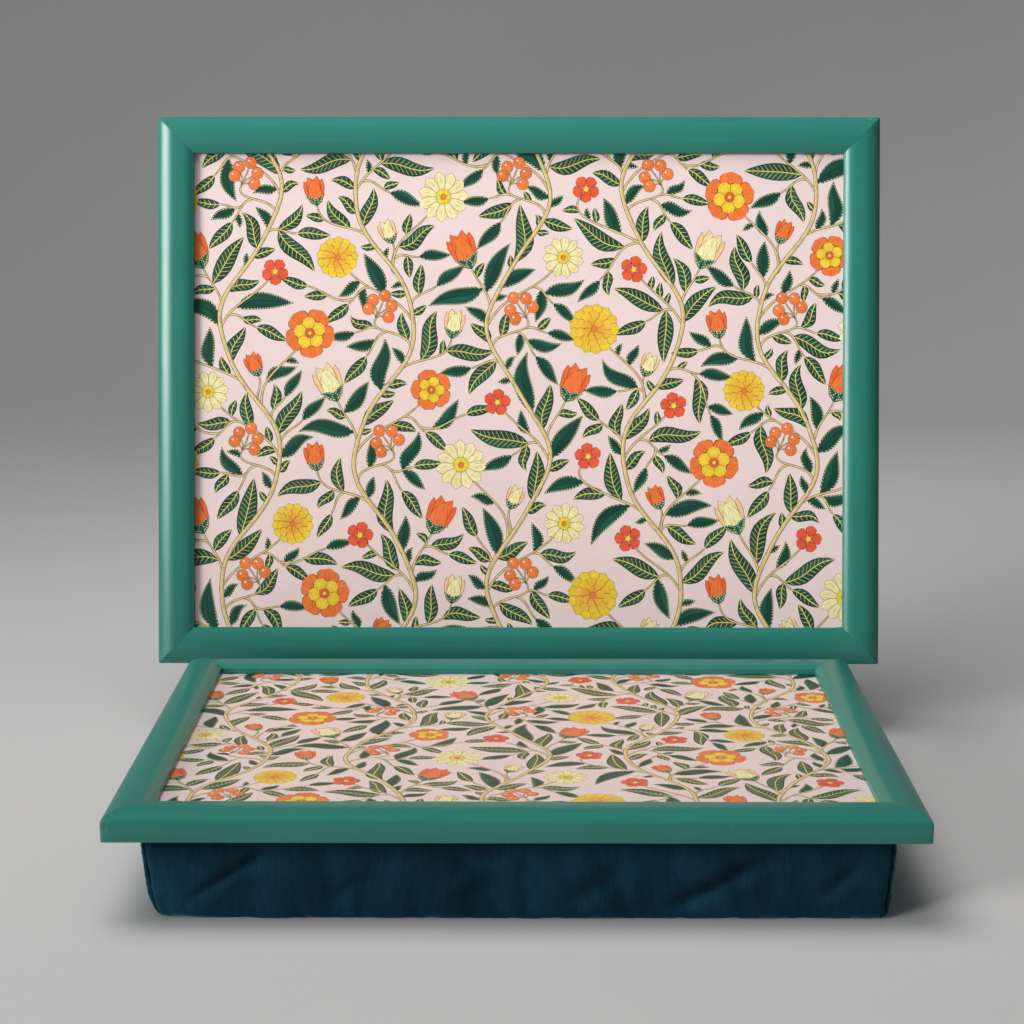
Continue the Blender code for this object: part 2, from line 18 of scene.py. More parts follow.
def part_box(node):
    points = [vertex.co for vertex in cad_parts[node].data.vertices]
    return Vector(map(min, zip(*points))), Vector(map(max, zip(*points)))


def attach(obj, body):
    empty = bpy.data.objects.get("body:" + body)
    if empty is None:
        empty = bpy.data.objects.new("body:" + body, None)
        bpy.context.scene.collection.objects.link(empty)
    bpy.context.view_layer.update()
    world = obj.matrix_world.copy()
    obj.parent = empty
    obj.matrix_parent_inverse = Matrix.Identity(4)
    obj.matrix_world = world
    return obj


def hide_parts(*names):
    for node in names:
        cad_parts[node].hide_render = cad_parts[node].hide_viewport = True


bl_info = {
    "name": "Lap desk with a lift lid",
    "version": (1, 0, 0),
    "blender": (4, 5, 0),
    "location": "3D View > Sidebar > Lap Desk",
    "description": "Paints, prints and upholsters a cushioned lap desk with a lift lid",
    "category": "Object",
}

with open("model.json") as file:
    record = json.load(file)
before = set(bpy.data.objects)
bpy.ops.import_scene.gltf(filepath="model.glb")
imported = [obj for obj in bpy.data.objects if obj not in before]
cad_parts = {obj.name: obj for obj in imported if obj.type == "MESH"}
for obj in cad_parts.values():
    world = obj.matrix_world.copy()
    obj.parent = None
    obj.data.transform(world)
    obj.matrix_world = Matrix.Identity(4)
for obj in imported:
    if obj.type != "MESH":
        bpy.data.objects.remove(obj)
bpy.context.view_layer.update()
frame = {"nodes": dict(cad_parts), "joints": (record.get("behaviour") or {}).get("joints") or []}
MM = 0.001

# Moulding of both frames, the same as the solid rails have
RAIL_W = 0.025
RAIL_H = 0.017
OUTER_FLAT = 0.0102
OUTER_ROUND = 0.0035
CROWN = 0.0025
INNER_ROUND = 0.0007
BACK_EDGE = 0.0006
RABBET_W = 0.006
RABBET_DEPTH = 0.0106
GAP = 0.0003
LID_CLEARANCE = 0.0005

# Fall of the crown to the outer and to the inner side, as powers of the distance from its ridge. The inner
# side is a little fuller than the solid rails'.
OUTER_CURVE = 2.0
INNER_CURVE = 3.4

# Steps of the moulding's roundings and crown and of a sanded corner, and the rings along a rail
ROUND_STEPS = 12
CROWN_STEPS = 28
INNER_STEPS = 5
CORNER_STEPS = 6
STRAIGHT_FROM_MITRE = 0.006
RING_GAP = 0.03
SHARP_FROM = math.radians(32)

# Width of the bands at a rail's outer arris and corners where the paint rubs thin
ARRIS_W = 0.003
CORNER_W = 0.006

# Corner nails seen in the back of each frame
NAIL_LEG = 0.008
NAIL_T = 0.0008
NAIL_H = 0.008
NAIL_FROM_CORNER = 0.0075
NAIL_FIT = 0.00005

# Millimetres that stand for one in a motif's stored coordinates and in its stored distance to the edge
OWN_SCALE = 100.0
RIM_SCALE = 10.0


def node_span(low_node, high_node, axis):
    """Distance from the lowest side of one node to the highest side of another."""
    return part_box(high_node)[1][axis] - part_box(low_node)[0][axis]


BASE_L = node_span("base_rail_left", "base_rail_right", 0)
BASE_D = node_span("base_rail_front", "base_rail_back", 1)
FRAME_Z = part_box("base_rail_front")[0].z
RIDGE_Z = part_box("base_rail_front")[1].z
LID_L = node_span("lid_rail_left", "lid_rail_right", 0)
LID_D = BASE_D + LID_L - BASE_L
LID_JOINT = frame["joints"][0]
LID_PIVOT = Vector(LID_JOINT["pos_m"])
LID_OPENING = math.radians(LID_JOINT["range_deg"][1])
PRINT_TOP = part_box("base_print_sheet")[1].z - FRAME_Z
SHEET_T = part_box("base_print_sheet")[1].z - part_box("base_print_sheet")[0].z


# Settings

def colour_setting(name, description, default):
    """A colour setting."""
    return FloatVectorProperty(
        name=name, description=description, subtype="COLOR", size=3, min=0.0, max=1.0, default=default)


def length_setting(name, description, low, high, default, precision=4):
    """A setting in metres."""
    return FloatProperty(
        name=name, description=description, unit="LENGTH", subtype="DISTANCE",
        min=low, max=high, precision=precision, default=default)


def number_setting(name, description, low, high, default):
    """A setting that is a plain number."""
    return FloatProperty(name=name, description=description, min=low, max=high, default=default)


class LapDeskFrameSettings(bpy.types.PropertyGroup):
    paint: colour_setting("Paint", "Colour of the painted frames and writing board", (0.022, 0.168, 0.135))
    corner_radius: length_setting(
        "Corner radius", "Sanded outer corners of each frame", 0.0005, 0.003, 0.0014)
    joint_line: length_setting(
        "Joint line", "Half of the hairline left at each mitre", 0.00002, 0.0002, 0.00003, 5)


class LapDeskPrintSettings(bpy.types.PropertyGroup):
    ground: colour_setting("Ground", "Ground colour of the print", (0.74, 0.59, 0.575))
    leaf: colour_setting("Leaf", "Dark green of the leaves", (0.0070, 0.060, 0.040))
    vein: colour_setting("Vein", "Yellow of the leaf veins", (0.68, 0.63, 0.16))
    stem: colour_setting("Stem", "Straw colour of the stems", (0.74, 0.57, 0.25))
    outline: colour_setting("Outline", "Dark brown of the outlines", (0.045, 0.030, 0.018))
    yellow: colour_setting("Yellow", "Yellow of the full blooms", (0.78, 0.60, 0.05))
    orange: colour_setting("Orange", "Orange of blooms and berries", (0.78, 0.19, 0.045))
    red: colour_setting("Red", "Orange red of the small blossoms", (0.74, 0.105, 0.045))
    cream: colour_setting("Cream", "Cream of the open blooms", (0.80, 0.78, 0.42))
    vine_gap: number_setting(
        "Vine gap", "Distance between neighbouring vines, in millimetres of the design", 60.0, 140.0, 92.0)
    vine_swing: number_setting(
        "Vine swing", "How far a vine swings to each side, in millimetres of the design", 5.0, 40.0, 21.0)
    vine_period: number_setting(
        "Vine period", "Height of one full swing, in millimetres of the design", 100.0, 300.0, 182.0)
    seed: IntProperty(name="Seed", description="Seed of the leaves' places", min=0, default=11)


class LapDeskCushionSettings(bpy.types.PropertyGroup):
    cloth: colour_setting("Cloth", "Colour of the cushion's brushed cloth", (0.0021, 0.0135, 0.0225))
    nap: colour_setting("Nap", "Colour where the nap catches the light", (0.0058, 0.038, 0.060))
    pressure: number_setting(
        "Pressure", "Pressure of the bead filling in the cloth simulation", 0.0, 20.0, 0.9)
    swell: length_setting("Swell", "The most that the cloth may move in the simulation", 0.0, 0.02, 0.0030)
    lean: length_setting(
        "Lean", "How much further right the cushion is at the ground than at the top", 0.0, 0.005, 0.0021)
    seam_depth: length_setting("Seam depth", "Groove along each upright corner seam", 0.0, 0.004, 0.0014)


class LapDeskStageSettings(bpy.types.PropertyGroup):
    floor: colour_setting("Floor", "Colour of the floor", (0.57, 0.56, 0.555))
    key_power: FloatProperty(
        name="Key light", description="Power of the soft light at the left, which is narrowed by a grid",
        unit="POWER", min=0.0, default=5.5)
    top_power: FloatProperty(
        name="Top light", description="Power of the soft light overhead",
        unit="POWER", min=0.0, default=34.0)
    fill_strength: number_setting("Fill", "Strength of the even light from all round", 0.0, 2.0, 0.12)
    lens: number_setting("Lens", "Focal length of the camera, in millimetres", 20.0, 200.0, 77.5)


# Shader wiring

class Wiring:
    """Adds nodes to one shader tree and links them."""

    def __init__(self, tree):
        self.tree = tree
        self.count = 0

    def feed(self, socket, value):
        """Links a socket to another one, or gives it a value."""
        if isinstance(value, bpy.types.NodeSocket):
            self.tree.links.new(value, socket)
        elif value is not None:
            if socket.type == "RGBA" and len(value) == 3:
                value = (*value, 1.0)
            socket.default_value = value

    def add(self, kind, settings=None, inputs=None):
        """A new node, laid out seven to a row."""
        node = self.tree.nodes.new(kind)
        node.location = (200 * (self.count % 7), -280 * (self.count // 7))
        self.count += 1
        for name, value in (settings or {}).items():
            setattr(node, name, value)
        for key, value in (inputs or {}).items():
            self.feed(node.inputs[key], value)
        return node

    def math(self, operation, a, b=None):
        return self.add("ShaderNodeMath", {"operation": operation}, {0: a, 1: b}).outputs[0]

    def times(self, a, b):
        return self.math("MULTIPLY", a, b)

    def plus(self, a, b):
        return self.math("ADD", a, b)

    def minus(self, a, b):
        return self.math("SUBTRACT", a, b)

    def mix(self, factor, a, b, blend="MIX"):
        settings = {"data_type": "RGBA", "blend_type": blend}
        return self.add("ShaderNodeMix", settings, {0: factor, 6: a, 7: b}).outputs[2]

    def tint(self, colour, other):
        """One colour multiplied by another."""
        return self.mix(1.0, colour, other, "MULTIPLY")

    def shade(self, colour, value):
        """A colour made lighter or darker by a value round one."""
        return self.tint(colour, self.combine(value, value, value))

    def ease(self, value, start, stop, low=0.0, high=1.0):
        """A smooth step from low at start to high at stop."""
        inputs = {"Value": value, "From Min": start, "From Max": stop, "To Min": low, "To Max": high}
        settings = {"interpolation_type": "SMOOTHSTEP"}
        return self.add("ShaderNodeMapRange", settings, inputs).outputs[0]

    def noise(self, place, scale, detail=2.0, roughness=0.5, distortion=0.0):
        inputs = {"Vector": place, "Scale": scale, "Detail": detail}
        inputs.update({"Roughness": roughness, "Distortion": distortion})
        return self.add("ShaderNodeTexNoise", None, inputs).outputs[0]

    def cells(self, place, scale):
        """Distance to the nearest of many scattered points."""
        return self.add("ShaderNodeTexVoronoi", None, {"Vector": place, "Scale": scale}).outputs[0]

    def combine(self, x, y, z=0.0):
        return self.add("ShaderNodeCombineXYZ", None, {0: x, 1: y, 2: z}).outputs[0]

    def split(self, place):
        return self.add("ShaderNodeSeparateXYZ", None, {0: place}).outputs

    def bump(self, height, distance, strength=1.0):
        inputs = {"Height": height, "Distance": distance, "Strength": strength}
        return self.add("ShaderNodeBump", None, inputs).outputs[0]

    def own_place(self):
        """Coordinates of the piece itself, which move with it."""
        return self.add("ShaderNodeTexCoord").outputs["Object"]

    def attribute(self, name):
        return self.add("ShaderNodeAttribute", {"attribute_name": name}).outputs

    def shared(self, name, **inputs):
        """Outputs of a shader group that several materials use. It is built when one first asks for it."""
        group = bpy.data.node_groups.get(name) or GROUP_BUILDERS[name](name)
        return self.add("ShaderNodeGroup", {"node_tree": group}, inputs).outputs


def new_group(name, inputs, outputs):
    """An empty shader group. inputs are (name, kind, default) and outputs are (name, kind)."""
    group = bpy.data.node_groups.new(name, "ShaderNodeTree")
    for label, kind, default in inputs:
        socket = group.interface.new_socket(name=label, in_out="INPUT", socket_type="NodeSocket" + kind)
        if default is not None:
            socket.default_value = default
    for label, kind in outputs:
        group.interface.new_socket(name=label, in_out="OUTPUT", socket_type="NodeSocket" + kind)
    wiring = Wiring(group)
    entry = wiring.add("NodeGroupInput").outputs
    leave = wiring.add("NodeGroupOutput").inputs
    return group, wiring, entry, leave


def build_grain(name):
    """Fine marks that run along a piece's own X, as brushing and wood fibre leave."""
    inputs = [("Place", "Vector", None), ("Scale", "Float", 600.0), ("Stretch", "Float", 0.05)]
    group, w, entry, leave = new_group(name, inputs, [("Value", "Float")])
    x, y, z = w.split(entry["Place"])
    drawn = w.combine(w.times(x, entry["Stretch"]), y, z)
    fine = w.noise(drawn, entry["Scale"], 3.0, 0.6)
    broad = w.noise(drawn, w.times(entry["Scale"], 0.22), 2.0, 0.5)
    w.feed(leave["Value"], w.plus(w.times(fine, 0.6), w.times(broad, 0.4)))
    return group


def build_mottle(name):
    """Soft uneven patches, as hands, light and ageing leave on any finish."""
    inputs = [("Place", "Vector", None), ("Scale", "Float", 14.0), ("Contrast", "Float", 0.2)]
    group, w, entry, leave = new_group(name, inputs, [("Value", "Float")])
    broad = w.noise(entry["Place"], entry["Scale"], 4.0, 0.55, 0.4)
    w.feed(leave["Value"], w.plus(w.times(w.minus(broad, 0.5), entry["Contrast"]), 1.0))
    return group


def build_motif_place(name):
    """A print motif's own coordinates in millimetres, its distance to its edge, its midrib and its ink."""
    outputs = [(label, "Float") for label in ("Along", "Across", "Rim", "Midrib")] + [("Ink", "Color")]
    group, w, _, leave = new_group(name, [], outputs)
    x, y, _ = w.split(w.add("ShaderNodeUVMap", {"uv_map": "motif"}).outputs[0])
    ink = w.attribute("ink")
    across = w.times(y, OWN_SCALE)
    w.feed(leave["Along"], w.times(x, OWN_SCALE))
    w.feed(leave["Across"], across)
    w.feed(leave["Rim"], w.times(ink["Alpha"], RIM_SCALE))
    w.feed(leave["Midrib"], w.ease(w.math("ABSOLUTE", across), 0.42, 0.18))
    w.feed(leave["Ink"], ink["Color"])
    return group


def build_film(name):
    """Printed paper under a clear film: grain of the paper in the colour, and the film's slight ripple."""
    inputs = [("Ink", "Color", None), ("Grain", "Float", 0.08), ("Roughness", "Float", 0.34)]
    outputs = [("Colour", "Color"), ("Roughness", "Float"), ("Normal", "Vector")]
    group, w, entry, leave = new_group(name, inputs, outputs)
    place = w.own_place()
    grain = w.noise(place, 1500.0, 2.0, 0.6)
    cloud = w.noise(place, 38.0, 3.0, 0.5)
    both = w.plus(w.times(grain, 0.7), w.times(cloud, 0.3))
    shade = w.plus(w.times(w.times(w.minus(both, 0.5), entry["Grain"]), 2.0), 1.0)
    w.feed(leave["Colour"], w.shade(entry["Ink"], shade))
    w.feed(leave["Roughness"], w.plus(w.times(w.minus(cloud, 0.5), 0.12), entry["Roughness"]))
    w.feed(leave["Normal"], w.bump(w.noise(place, 420.0, 2.0, 0.5), 0.00006, 0.25))
    return group


def build_lines(name):
    """Printed lines across a motif at an even spacing, in the chevron that a leaf's veins make."""
    inputs = [
        ("Along", "Float", 0.0),
        ("Across", "Float", 0.0),
        ("Spacing", "Float", 3.0),
        ("Rake", "Float", 0.9),
        ("Width", "Float", 0.4),
    ]
    group, w, entry, leave = new_group(name, inputs, [("Mask", "Float")])
    side = w.math("ABSOLUTE", entry["Across"])
    phase = w.minus(entry["Along"], w.times(side, entry["Rake"]))
    turns = w.math("DIVIDE", phase, entry["Spacing"])
    near = w.math("ABSOLUTE", w.minus(w.math("FRACT", w.plus(turns, 100.5)), 0.5))
    half = w.times(entry["Width"], 0.5)
    w.feed(leave["Mask"], w.ease(w.times(near, entry["Spacing"]), w.plus(half, 0.14), half))
    return group


def build_streaks(name):
    """Broken streaks along a motif, as an engraver shades it. The scales are in streaks to a millimetre."""
    inputs = [
        ("Along", "Float", 0.0),
        ("Across", "Float", 0.0),
        ("Lengthwise", "Float", 0.14),
        ("Crosswise", "Float", 1.7),
        ("Waver", "Float", 0.0),
    ]
    group, w, entry, leave = new_group(name, inputs, [("Value", "Float")])
    along = w.times(entry["Along"], entry["Lengthwise"])
    across = w.times(entry["Across"], entry["Crosswise"])
    w.feed(leave["Value"], w.noise(w.combine(along, across), 1.0, 3.0, 0.6, entry["Waver"]))
    return group


GROUP_BUILDERS = {
    "Grain": build_grain,
    "Mottle": build_mottle,
    "Motif place": build_motif_place,
    "Film": build_film,
    "Printed lines": build_lines,
    "Printed streaks": build_streaks,
}


# Materials

def new_material(name, colour, roughness, metallic=0.0, sockets=None):
    """A Principled material with its even values on the shader's own sockets."""
    mat = bpy.data.materials.new(name)
    mat.use_nodes = True
    mat.diffuse_color = (*colour, 1.0)
    shader = mat.node_tree.nodes["Principled BSDF"]
    values = {"Roughness": roughness, "Metallic": metallic, **(sockets or {})}
    for key, value in values.items():
        shader.inputs[key].default_value = value
    w = Wiring(mat.node_tree)
    w.feed(shader.inputs["Base Color"], colour)
    return mat, w, shader.inputs


def set_material(obj, *mats):
    obj.data.materials.clear()
    for mat in mats:
        obj.data.materials.append(mat)


def paint_material(name, colour):
    """Satin paint over moulded wood, brushed along each piece's own X and rubbed thin at its edges."""
    mat, w, shader = new_material(name, colour, 0.30, 0.0, {"IOR": 1.45})
    place = w.own_place()
    mottle = w.shared("Mottle", Place=place, Scale=22.0, Contrast=0.16)[0]
    grain = w.shared("Grain", Place=place, Scale=900.0, Stretch=0.035)[0]
    tinted = w.shade(colour, w.times(mottle, w.ease(grain, 0.25, 0.75, 0.94, 1.06)))
    reach = w.times(w.attribute("edge")["Fac"], 0.5)
    broken = w.noise(place, 260.0, 5.0, 0.7)
    rub = w.ease(w.minus(w.plus(reach, broken), 1.0), 0.0, 0.12)
    lighter = tuple(min(1.0, 1.5 * c + 0.03) for c in colour)
    w.feed(shader["Base Color"], w.mix(w.times(rub, 0.45), tinted, lighter))
    w.feed(shader["Roughness"], w.ease(grain, 0.2, 0.8, 0.27, 0.35))
    w.feed(shader["Normal"], w.bump(grain, 0.00010, 0.35))
    return mat


def steel_material(name, colour, roughness, scale):
    """Plated steel with fine rolling marks."""
    mat, w, shader = new_material(name, colour, roughness, 1.0)
    place = w.own_place()
    grain = w.shared("Grain", Place=place, Scale=scale, Stretch=0.04)[0]
    mottle = w.shared("Mottle", Place=place, Scale=120.0, Contrast=0.35)[0]
    w.feed(shader["Base Color"], w.shade(colour, w.times(mottle, w.ease(grain, 0.2, 0.8, 0.86, 1.05))))
    w.feed(shader["Roughness"], w.ease(grain, 0.25, 0.75, roughness - 0.06, roughness + 0.12))
    w.feed(shader["Normal"], w.bump(grain, 0.00004, 0.3))
    return mat


def board_material(name, colour):
    """Pressed wood fibre, with darker flecks."""
    mat, w, shader = new_material(name, colour, 0.78)
    place = w.own_place()
    grain = w.shared("Grain", Place=place, Scale=700.0, Stretch=0.5)[0]
    mottle = w.shared("Mottle", Place=place, Scale=40.0, Contrast=0.3)[0]
    fleck = w.ease(w.cells(place, 900.0), 0.28, 0.12)
    plain = w.shade(colour, w.times(mottle, w.ease(grain, 0.2, 0.8, 0.8, 1.12)))
    dark = tuple(0.35 * c for c in colour)
    w.feed(shader["Base Color"], w.mix(w.times(fleck, 0.5), plain, dark))
    w.feed(shader["Roughness"], w.ease(grain, 0.2, 0.8, 0.68, 0.88))
    w.feed(shader["Normal"], w.bump(grain, 0.00012, 0.5))
    return mat


def ground_ink(w, place, inks):
    """The print's ground, slightly mottled and specked."""
    own = w.own_place()
    mottle = w.shared("Mottle", Place=own, Scale=30.0, Contrast=0.10)[0]
    speck = w.ease(w.noise(own, 2600.0, 1.0), 0.64, 0.72)
    dark = tuple(0.7 * c for c in inks["ground"])
    return w.mix(w.times(speck, 0.10), w.shade(inks["ground"], mottle), dark)


def printed_lines(w, place, spacing, rake, width):
    """Mask of lines across a motif, in millimetres."""
    along, across = place["Along"], place["Across"]
    return w.shared("Printed lines", Along=along, Across=across, Spacing=spacing, Rake=rake, Width=width)[0]


def printed_streaks(w, place, lengthwise, crosswise, waver=0.0):
    """Broken streaks along a motif."""
    inputs = {"Along": place["Along"], "Across": place["Across"], "Waver": waver}
    return w.shared("Printed streaks", Lengthwise=lengthwise, Crosswise=crosswise, **inputs)[0]


def veined_ink(w, place, inks):
    """A leaf with light veins over fine broken hatching."""
    broken = w.ease(w.noise(w.combine(place["Along"], place["Across"]), 0.55, 2.0), 0.38, 0.58)
    hatch = w.times(printed_lines(w, place, 0.85, 0.85, 0.2975), broken)
    light = w.tint(place["Ink"], (2.0, 2.0, 1.8))
    inked = w.mix(w.times(hatch, 0.45), place["Ink"], light)
    side_veins = w.times(printed_lines(w, place, 3.3, 0.8, 0.20), w.ease(place["Rim"], 0.7, 1.2))
    return w.mix(w.math("MAXIMUM", side_veins, place["Midrib"]), inked, inks["vein"])


def fringed_ink(w, place, inks):
    """A dark leaf with a darker midrib and a fringe of short light ticks along its edge."""
    streak = w.ease(printed_streaks(w, place, 0.10, 1.5, 0.5), 0.42, 0.60)
    light = w.tint(place["Ink"], (1.9, 2.1, 1.8))
    inked = w.mix(w.times(streak, 0.5), place["Ink"], light)
    dark = tuple(0.3 * c for c in inks["leaf"])
    inked = w.mix(w.times(place["Midrib"], 0.8), inked, dark)
    fringe = w.times(w.ease(place["Rim"], 0.10, 0.25), w.ease(place["Rim"], 1.15, 0.85))
    ticks = w.times(printed_lines(w, place, 1.9, 0.7, 0.55), fringe)
    return w.mix(w.times(ticks, 0.9), inked, inks["fringe"])


def stem_ink(w, place, inks):
    """Straw bark with a shaded side, fine lines along it and a thin outline."""
    line = w.ease(printed_streaks(w, place, 0.16, 2.6), 0.54, 0.62)
    shade = w.ease(place["Across"], 0.2, -1.0, 0.0, 0.7)
    body = w.mix(shade, inks["stem"], tuple(0.55 * c for c in inks["stem"]))
    body = w.mix(w.times(line, 0.6), body, inks["outline"])
    return w.mix(w.ease(place["Rim"], 0.42, 0.26), body, inks["outline"])


def petal_ink(w, place, inks):
    """A petal that darkens towards its root, with streaks and a dark outline."""
    streak = w.ease(printed_streaks(w, place, 0.14, 1.7), 0.48, 0.60)
    root = w.ease(place["Along"], 7.0, 0.5, 0.0, 0.6)
    dark = w.tint(place["Ink"], (0.80, 0.50, 0.36))
    inked = w.mix(w.math("MAXIMUM", w.times(streak, 0.7), root), place["Ink"], dark)
    line = w.tint(place["Ink"], (0.26, 0.13, 0.11))
    return w.mix(w.ease(place["Rim"], 0.46, 0.26), inked, line)


def dot_ink(w, place, inks):
    """A stippled round with an outline."""
    stipple = w.ease(w.cells(w.combine(place["Along"], place["Across"]), 1.1), 0.36, 0.26)
    inked = w.mix(w.times(stipple, 0.75), place["Ink"], inks["outline"])
    return w.mix(w.ease(place["Rim"], 0.36, 0.20), inked, inks["outline"])


# Layers of the print, each in its own ink. Their order is the order of the sheet's materials.
LAYER_INKS = (
    ("print_ground", ground_ink),
    ("print_veined_leaf", veined_ink),
    ("print_fringed_leaf", fringed_ink),
    ("print_stem", stem_ink),
    ("print_petal", petal_ink),
    ("print_dot", dot_ink),
)
GROUND, VEINED, FRINGED, STEM, PETAL, DOT = range(len(LAYER_INKS))


def print_materials(settings):
    """One material to a layer: its ink under the clear film."""
    inks = {key: tuple(getattr(settings, key)) for key in ("ground", "leaf", "vein", "stem", "outline")}
    inks["fringe"] = tuple((2 * a + b) / 3 for a, b in zip(settings.cream, settings.vein))
    mats = []
    for name, ink_of in LAYER_INKS:
        mat, w, shader = new_material(name, (0.6, 0.5, 0.45), 0.34, 0.0, {"IOR": 1.5})
        film = w.shared("Film", Ink=ink_of(w, w.shared("Motif place"), inks))
        w.feed(shader["Base Color"], film["Colour"])
        w.feed(shader["Roughness"], film["Roughness"])
        w.feed(shader["Normal"], film["Normal"])
        mats.append(mat)
    return mats


# Mesh helpers

def new_object(name, mesh):
    obj = bpy.data.objects.new(name, mesh)
    bpy.context.scene.collection.objects.link(obj)
    return obj


def new_mesh(name, points, faces):
    mesh = bpy.data.meshes.new(name)
    mesh.from_pydata(points, [], faces)
    mesh.update()
    return mesh


def ring_faces(rings, count):
    """Quads between closed rings of equally many points, which follow one another in the list."""
    faces = []
    for r in range(rings - 1):
        for i in range(count):
            j = (i + 1) % count
            faces.append((r * count + i, r * count + j, (r + 1) * count + j, (r + 1) * count + i))
    return faces


def edit_mesh(mesh, work=None):
    """Runs work on a mesh as a bmesh, then turns its faces outwards."""
    bm = bmesh.new()
    bm.from_mesh(mesh)
    if work:
        work(bm)
    bmesh.ops.recalc_face_normals(bm, faces=bm.faces[:])
    bm.to_mesh(mesh)
    bm.free()


def bake_modifiers(obj):
    """Puts the result of an object's modifiers into its own mesh."""
    graph = bpy.context.evaluated_depsgraph_get()
    mesh = bpy.data.meshes.new_from_object(obj.evaluated_get(graph))
    old = obj.data
    obj.modifiers.clear()
    obj.data = mesh
    mesh.name = old.name
    bpy.data.meshes.remove(old)


def mesh_points(mesh):
    flat = np.empty(len(mesh.vertices) * 3)
    mesh.vertices.foreach_get("co", flat)
    return flat.reshape(-1, 3)


def set_points(mesh, points):
    mesh.vertices.foreach_set("co", np.asarray(points, float).ravel())
    mesh.update()


def give_mask(mesh, name, values):
    """Writes a mask that a material reads, one value to a vertex."""
    attribute = mesh.attributes.new(name, "FLOAT", "POINT")
    attribute.data.foreach_set("value", np.asarray(values, np.float32))


# Frames

def lid_place():
    """Matrix of the lid frame, drawn on its back at z = 0 and turned open on its hinge."""
    closed_back = RIDGE_Z + LID_CLEARANCE + PRINT_TOP
    turn = Matrix.Rotation(-LID_OPENING, 4, "X")
    laid = Matrix.Translation((0, -LID_PIVOT.y, closed_back - LID_PIVOT.z))
    face_down = Matrix.Rotation(math.pi, 4, "Y")
    return Matrix.Translation((0, LID_PIVOT.y, LID_PIVOT.z)) @ turn @ laid @ face_down


def moulding_profile():
    """Cross-section of the moulding as (in from the outer side, up from the back)."""
    shoulder = RAIL_H - CROWN
    half = RAIL_W / 2
    outer = half - OUTER_ROUND
    inner = half - INNER_ROUND
    # The rounding leaves the outer side upright and meets the crown at the crown's own slope
    knee = shoulder - OUTER_ROUND * OUTER_CURVE * CROWN / outer
    points = [(BACK_EDGE, 0.0), (BACK_EDGE * 0.3, BACK_EDGE * 0.3), (0.0, BACK_EDGE)]
    points += [(0.0, OUTER_FLAT * 0.5)]
    for k in range(ROUND_STEPS):
        t = k / ROUND_STEPS
        across = OUTER_ROUND * t * t
        up = (1 - t) ** 2 * OUTER_FLAT + 2 * t * (1 - t) * knee + t * t * shoulder
        points.append((across, up))
    for k in range(CROWN_STEPS + 1):
        t = -1 + 2 * k / CROWN_STEPS
        reach, curve = (outer, OUTER_CURVE) if t < 0 else (inner, INNER_CURVE)
        points.append((half + t * reach, RAIL_H - CROWN * abs(t) ** curve))
    for k in range(1, INNER_STEPS + 1):
        angle = math.pi / 2 * k / INNER_STEPS
        across = RAIL_W - INNER_ROUND * (1 - math.sin(angle))
        up = shoulder - INNER_ROUND * (1 - math.cos(angle))
        points.append((across, up))
    points.append((RAIL_W, RABBET_DEPTH))
    points.append((RAIL_W - RABBET_W, RABBET_DEPTH))
    points.append((RAIL_W - RABBET_W, 0.0))
    return points


def rail_half_rings(profile, radius, joint):
    """Rings from the mitre inwards, as (in from the outer side, in from the end, up).

    The first ring is the mitre's face, a hair smaller than the rail, so that a fine line shows there.
    The others turn round the sanded corner.
    """
    groove = 1.6 * joint
    cap = []
    for u, v in profile:
        inward = min(max(u, groove), RAIL_W - groove)
        if u < radius:
            turned = radius - (radius - inward) / math.sqrt(2)
            cap.append((turned, turned + joint, min(max(v, groove), RAIL_H)))
        else:
            cap.append((inward, inward + joint, v - groove if v > RABBET_DEPTH else max(v, groove)))
    rings = [cap]
    for k in range(CORNER_STEPS, -1, -1):
        share = k / CORNER_STEPS
        turn = math.pi / 4 * share
        ring = []
        for u, v in profile:
            if u < radius:
                across = radius - (radius - u) * math.cos(turn)
                back = radius - (radius - u) * math.sin(turn)
            else:
                across = u
                back = u + (1 - share) * 0.6 * radius
            ring.append((across, back + joint + groove, v))
        rings.append(ring)
    return rings


def rail_mesh(name, length, depth, settings):
    """One mitred rail along X. Its outer side faces -Y at -depth/2 and its back is at z = 0."""
    profile = moulding_profile()
    ends = rail_half_rings(profile, settings.corner_radius, settings.joint_line)
    first = RAIL_W + STRAIGHT_FROM_MITRE
    count = max(4, round((length - 2 * first) / RING_GAP))
    straight = []
    for k in range(count + 1):
        along = first + (length - 2 * first) * k / count
        straight.append([(u, along, v) for u, v in profile])
    rings = ends + straight
    rings += [[(u, length - back, v) for u, back, v in ring] for ring in reversed(ends)]
    points = [(back - length / 2, u - depth / 2, v) for ring in rings for u, back, v in ring]
    n = len(profile)
    last = (len(rings) - 1) * n
    faces = ring_faces(len(rings), n)
    faces.append(tuple(range(n))[::-1])
    faces.append(tuple(range(last, last + n)))
    mesh = new_mesh(name, points, faces)
    edit_mesh(mesh, lambda bm: bmesh.ops.remove_doubles(bm, verts=bm.verts[:], dist=1e-7))
    return mesh


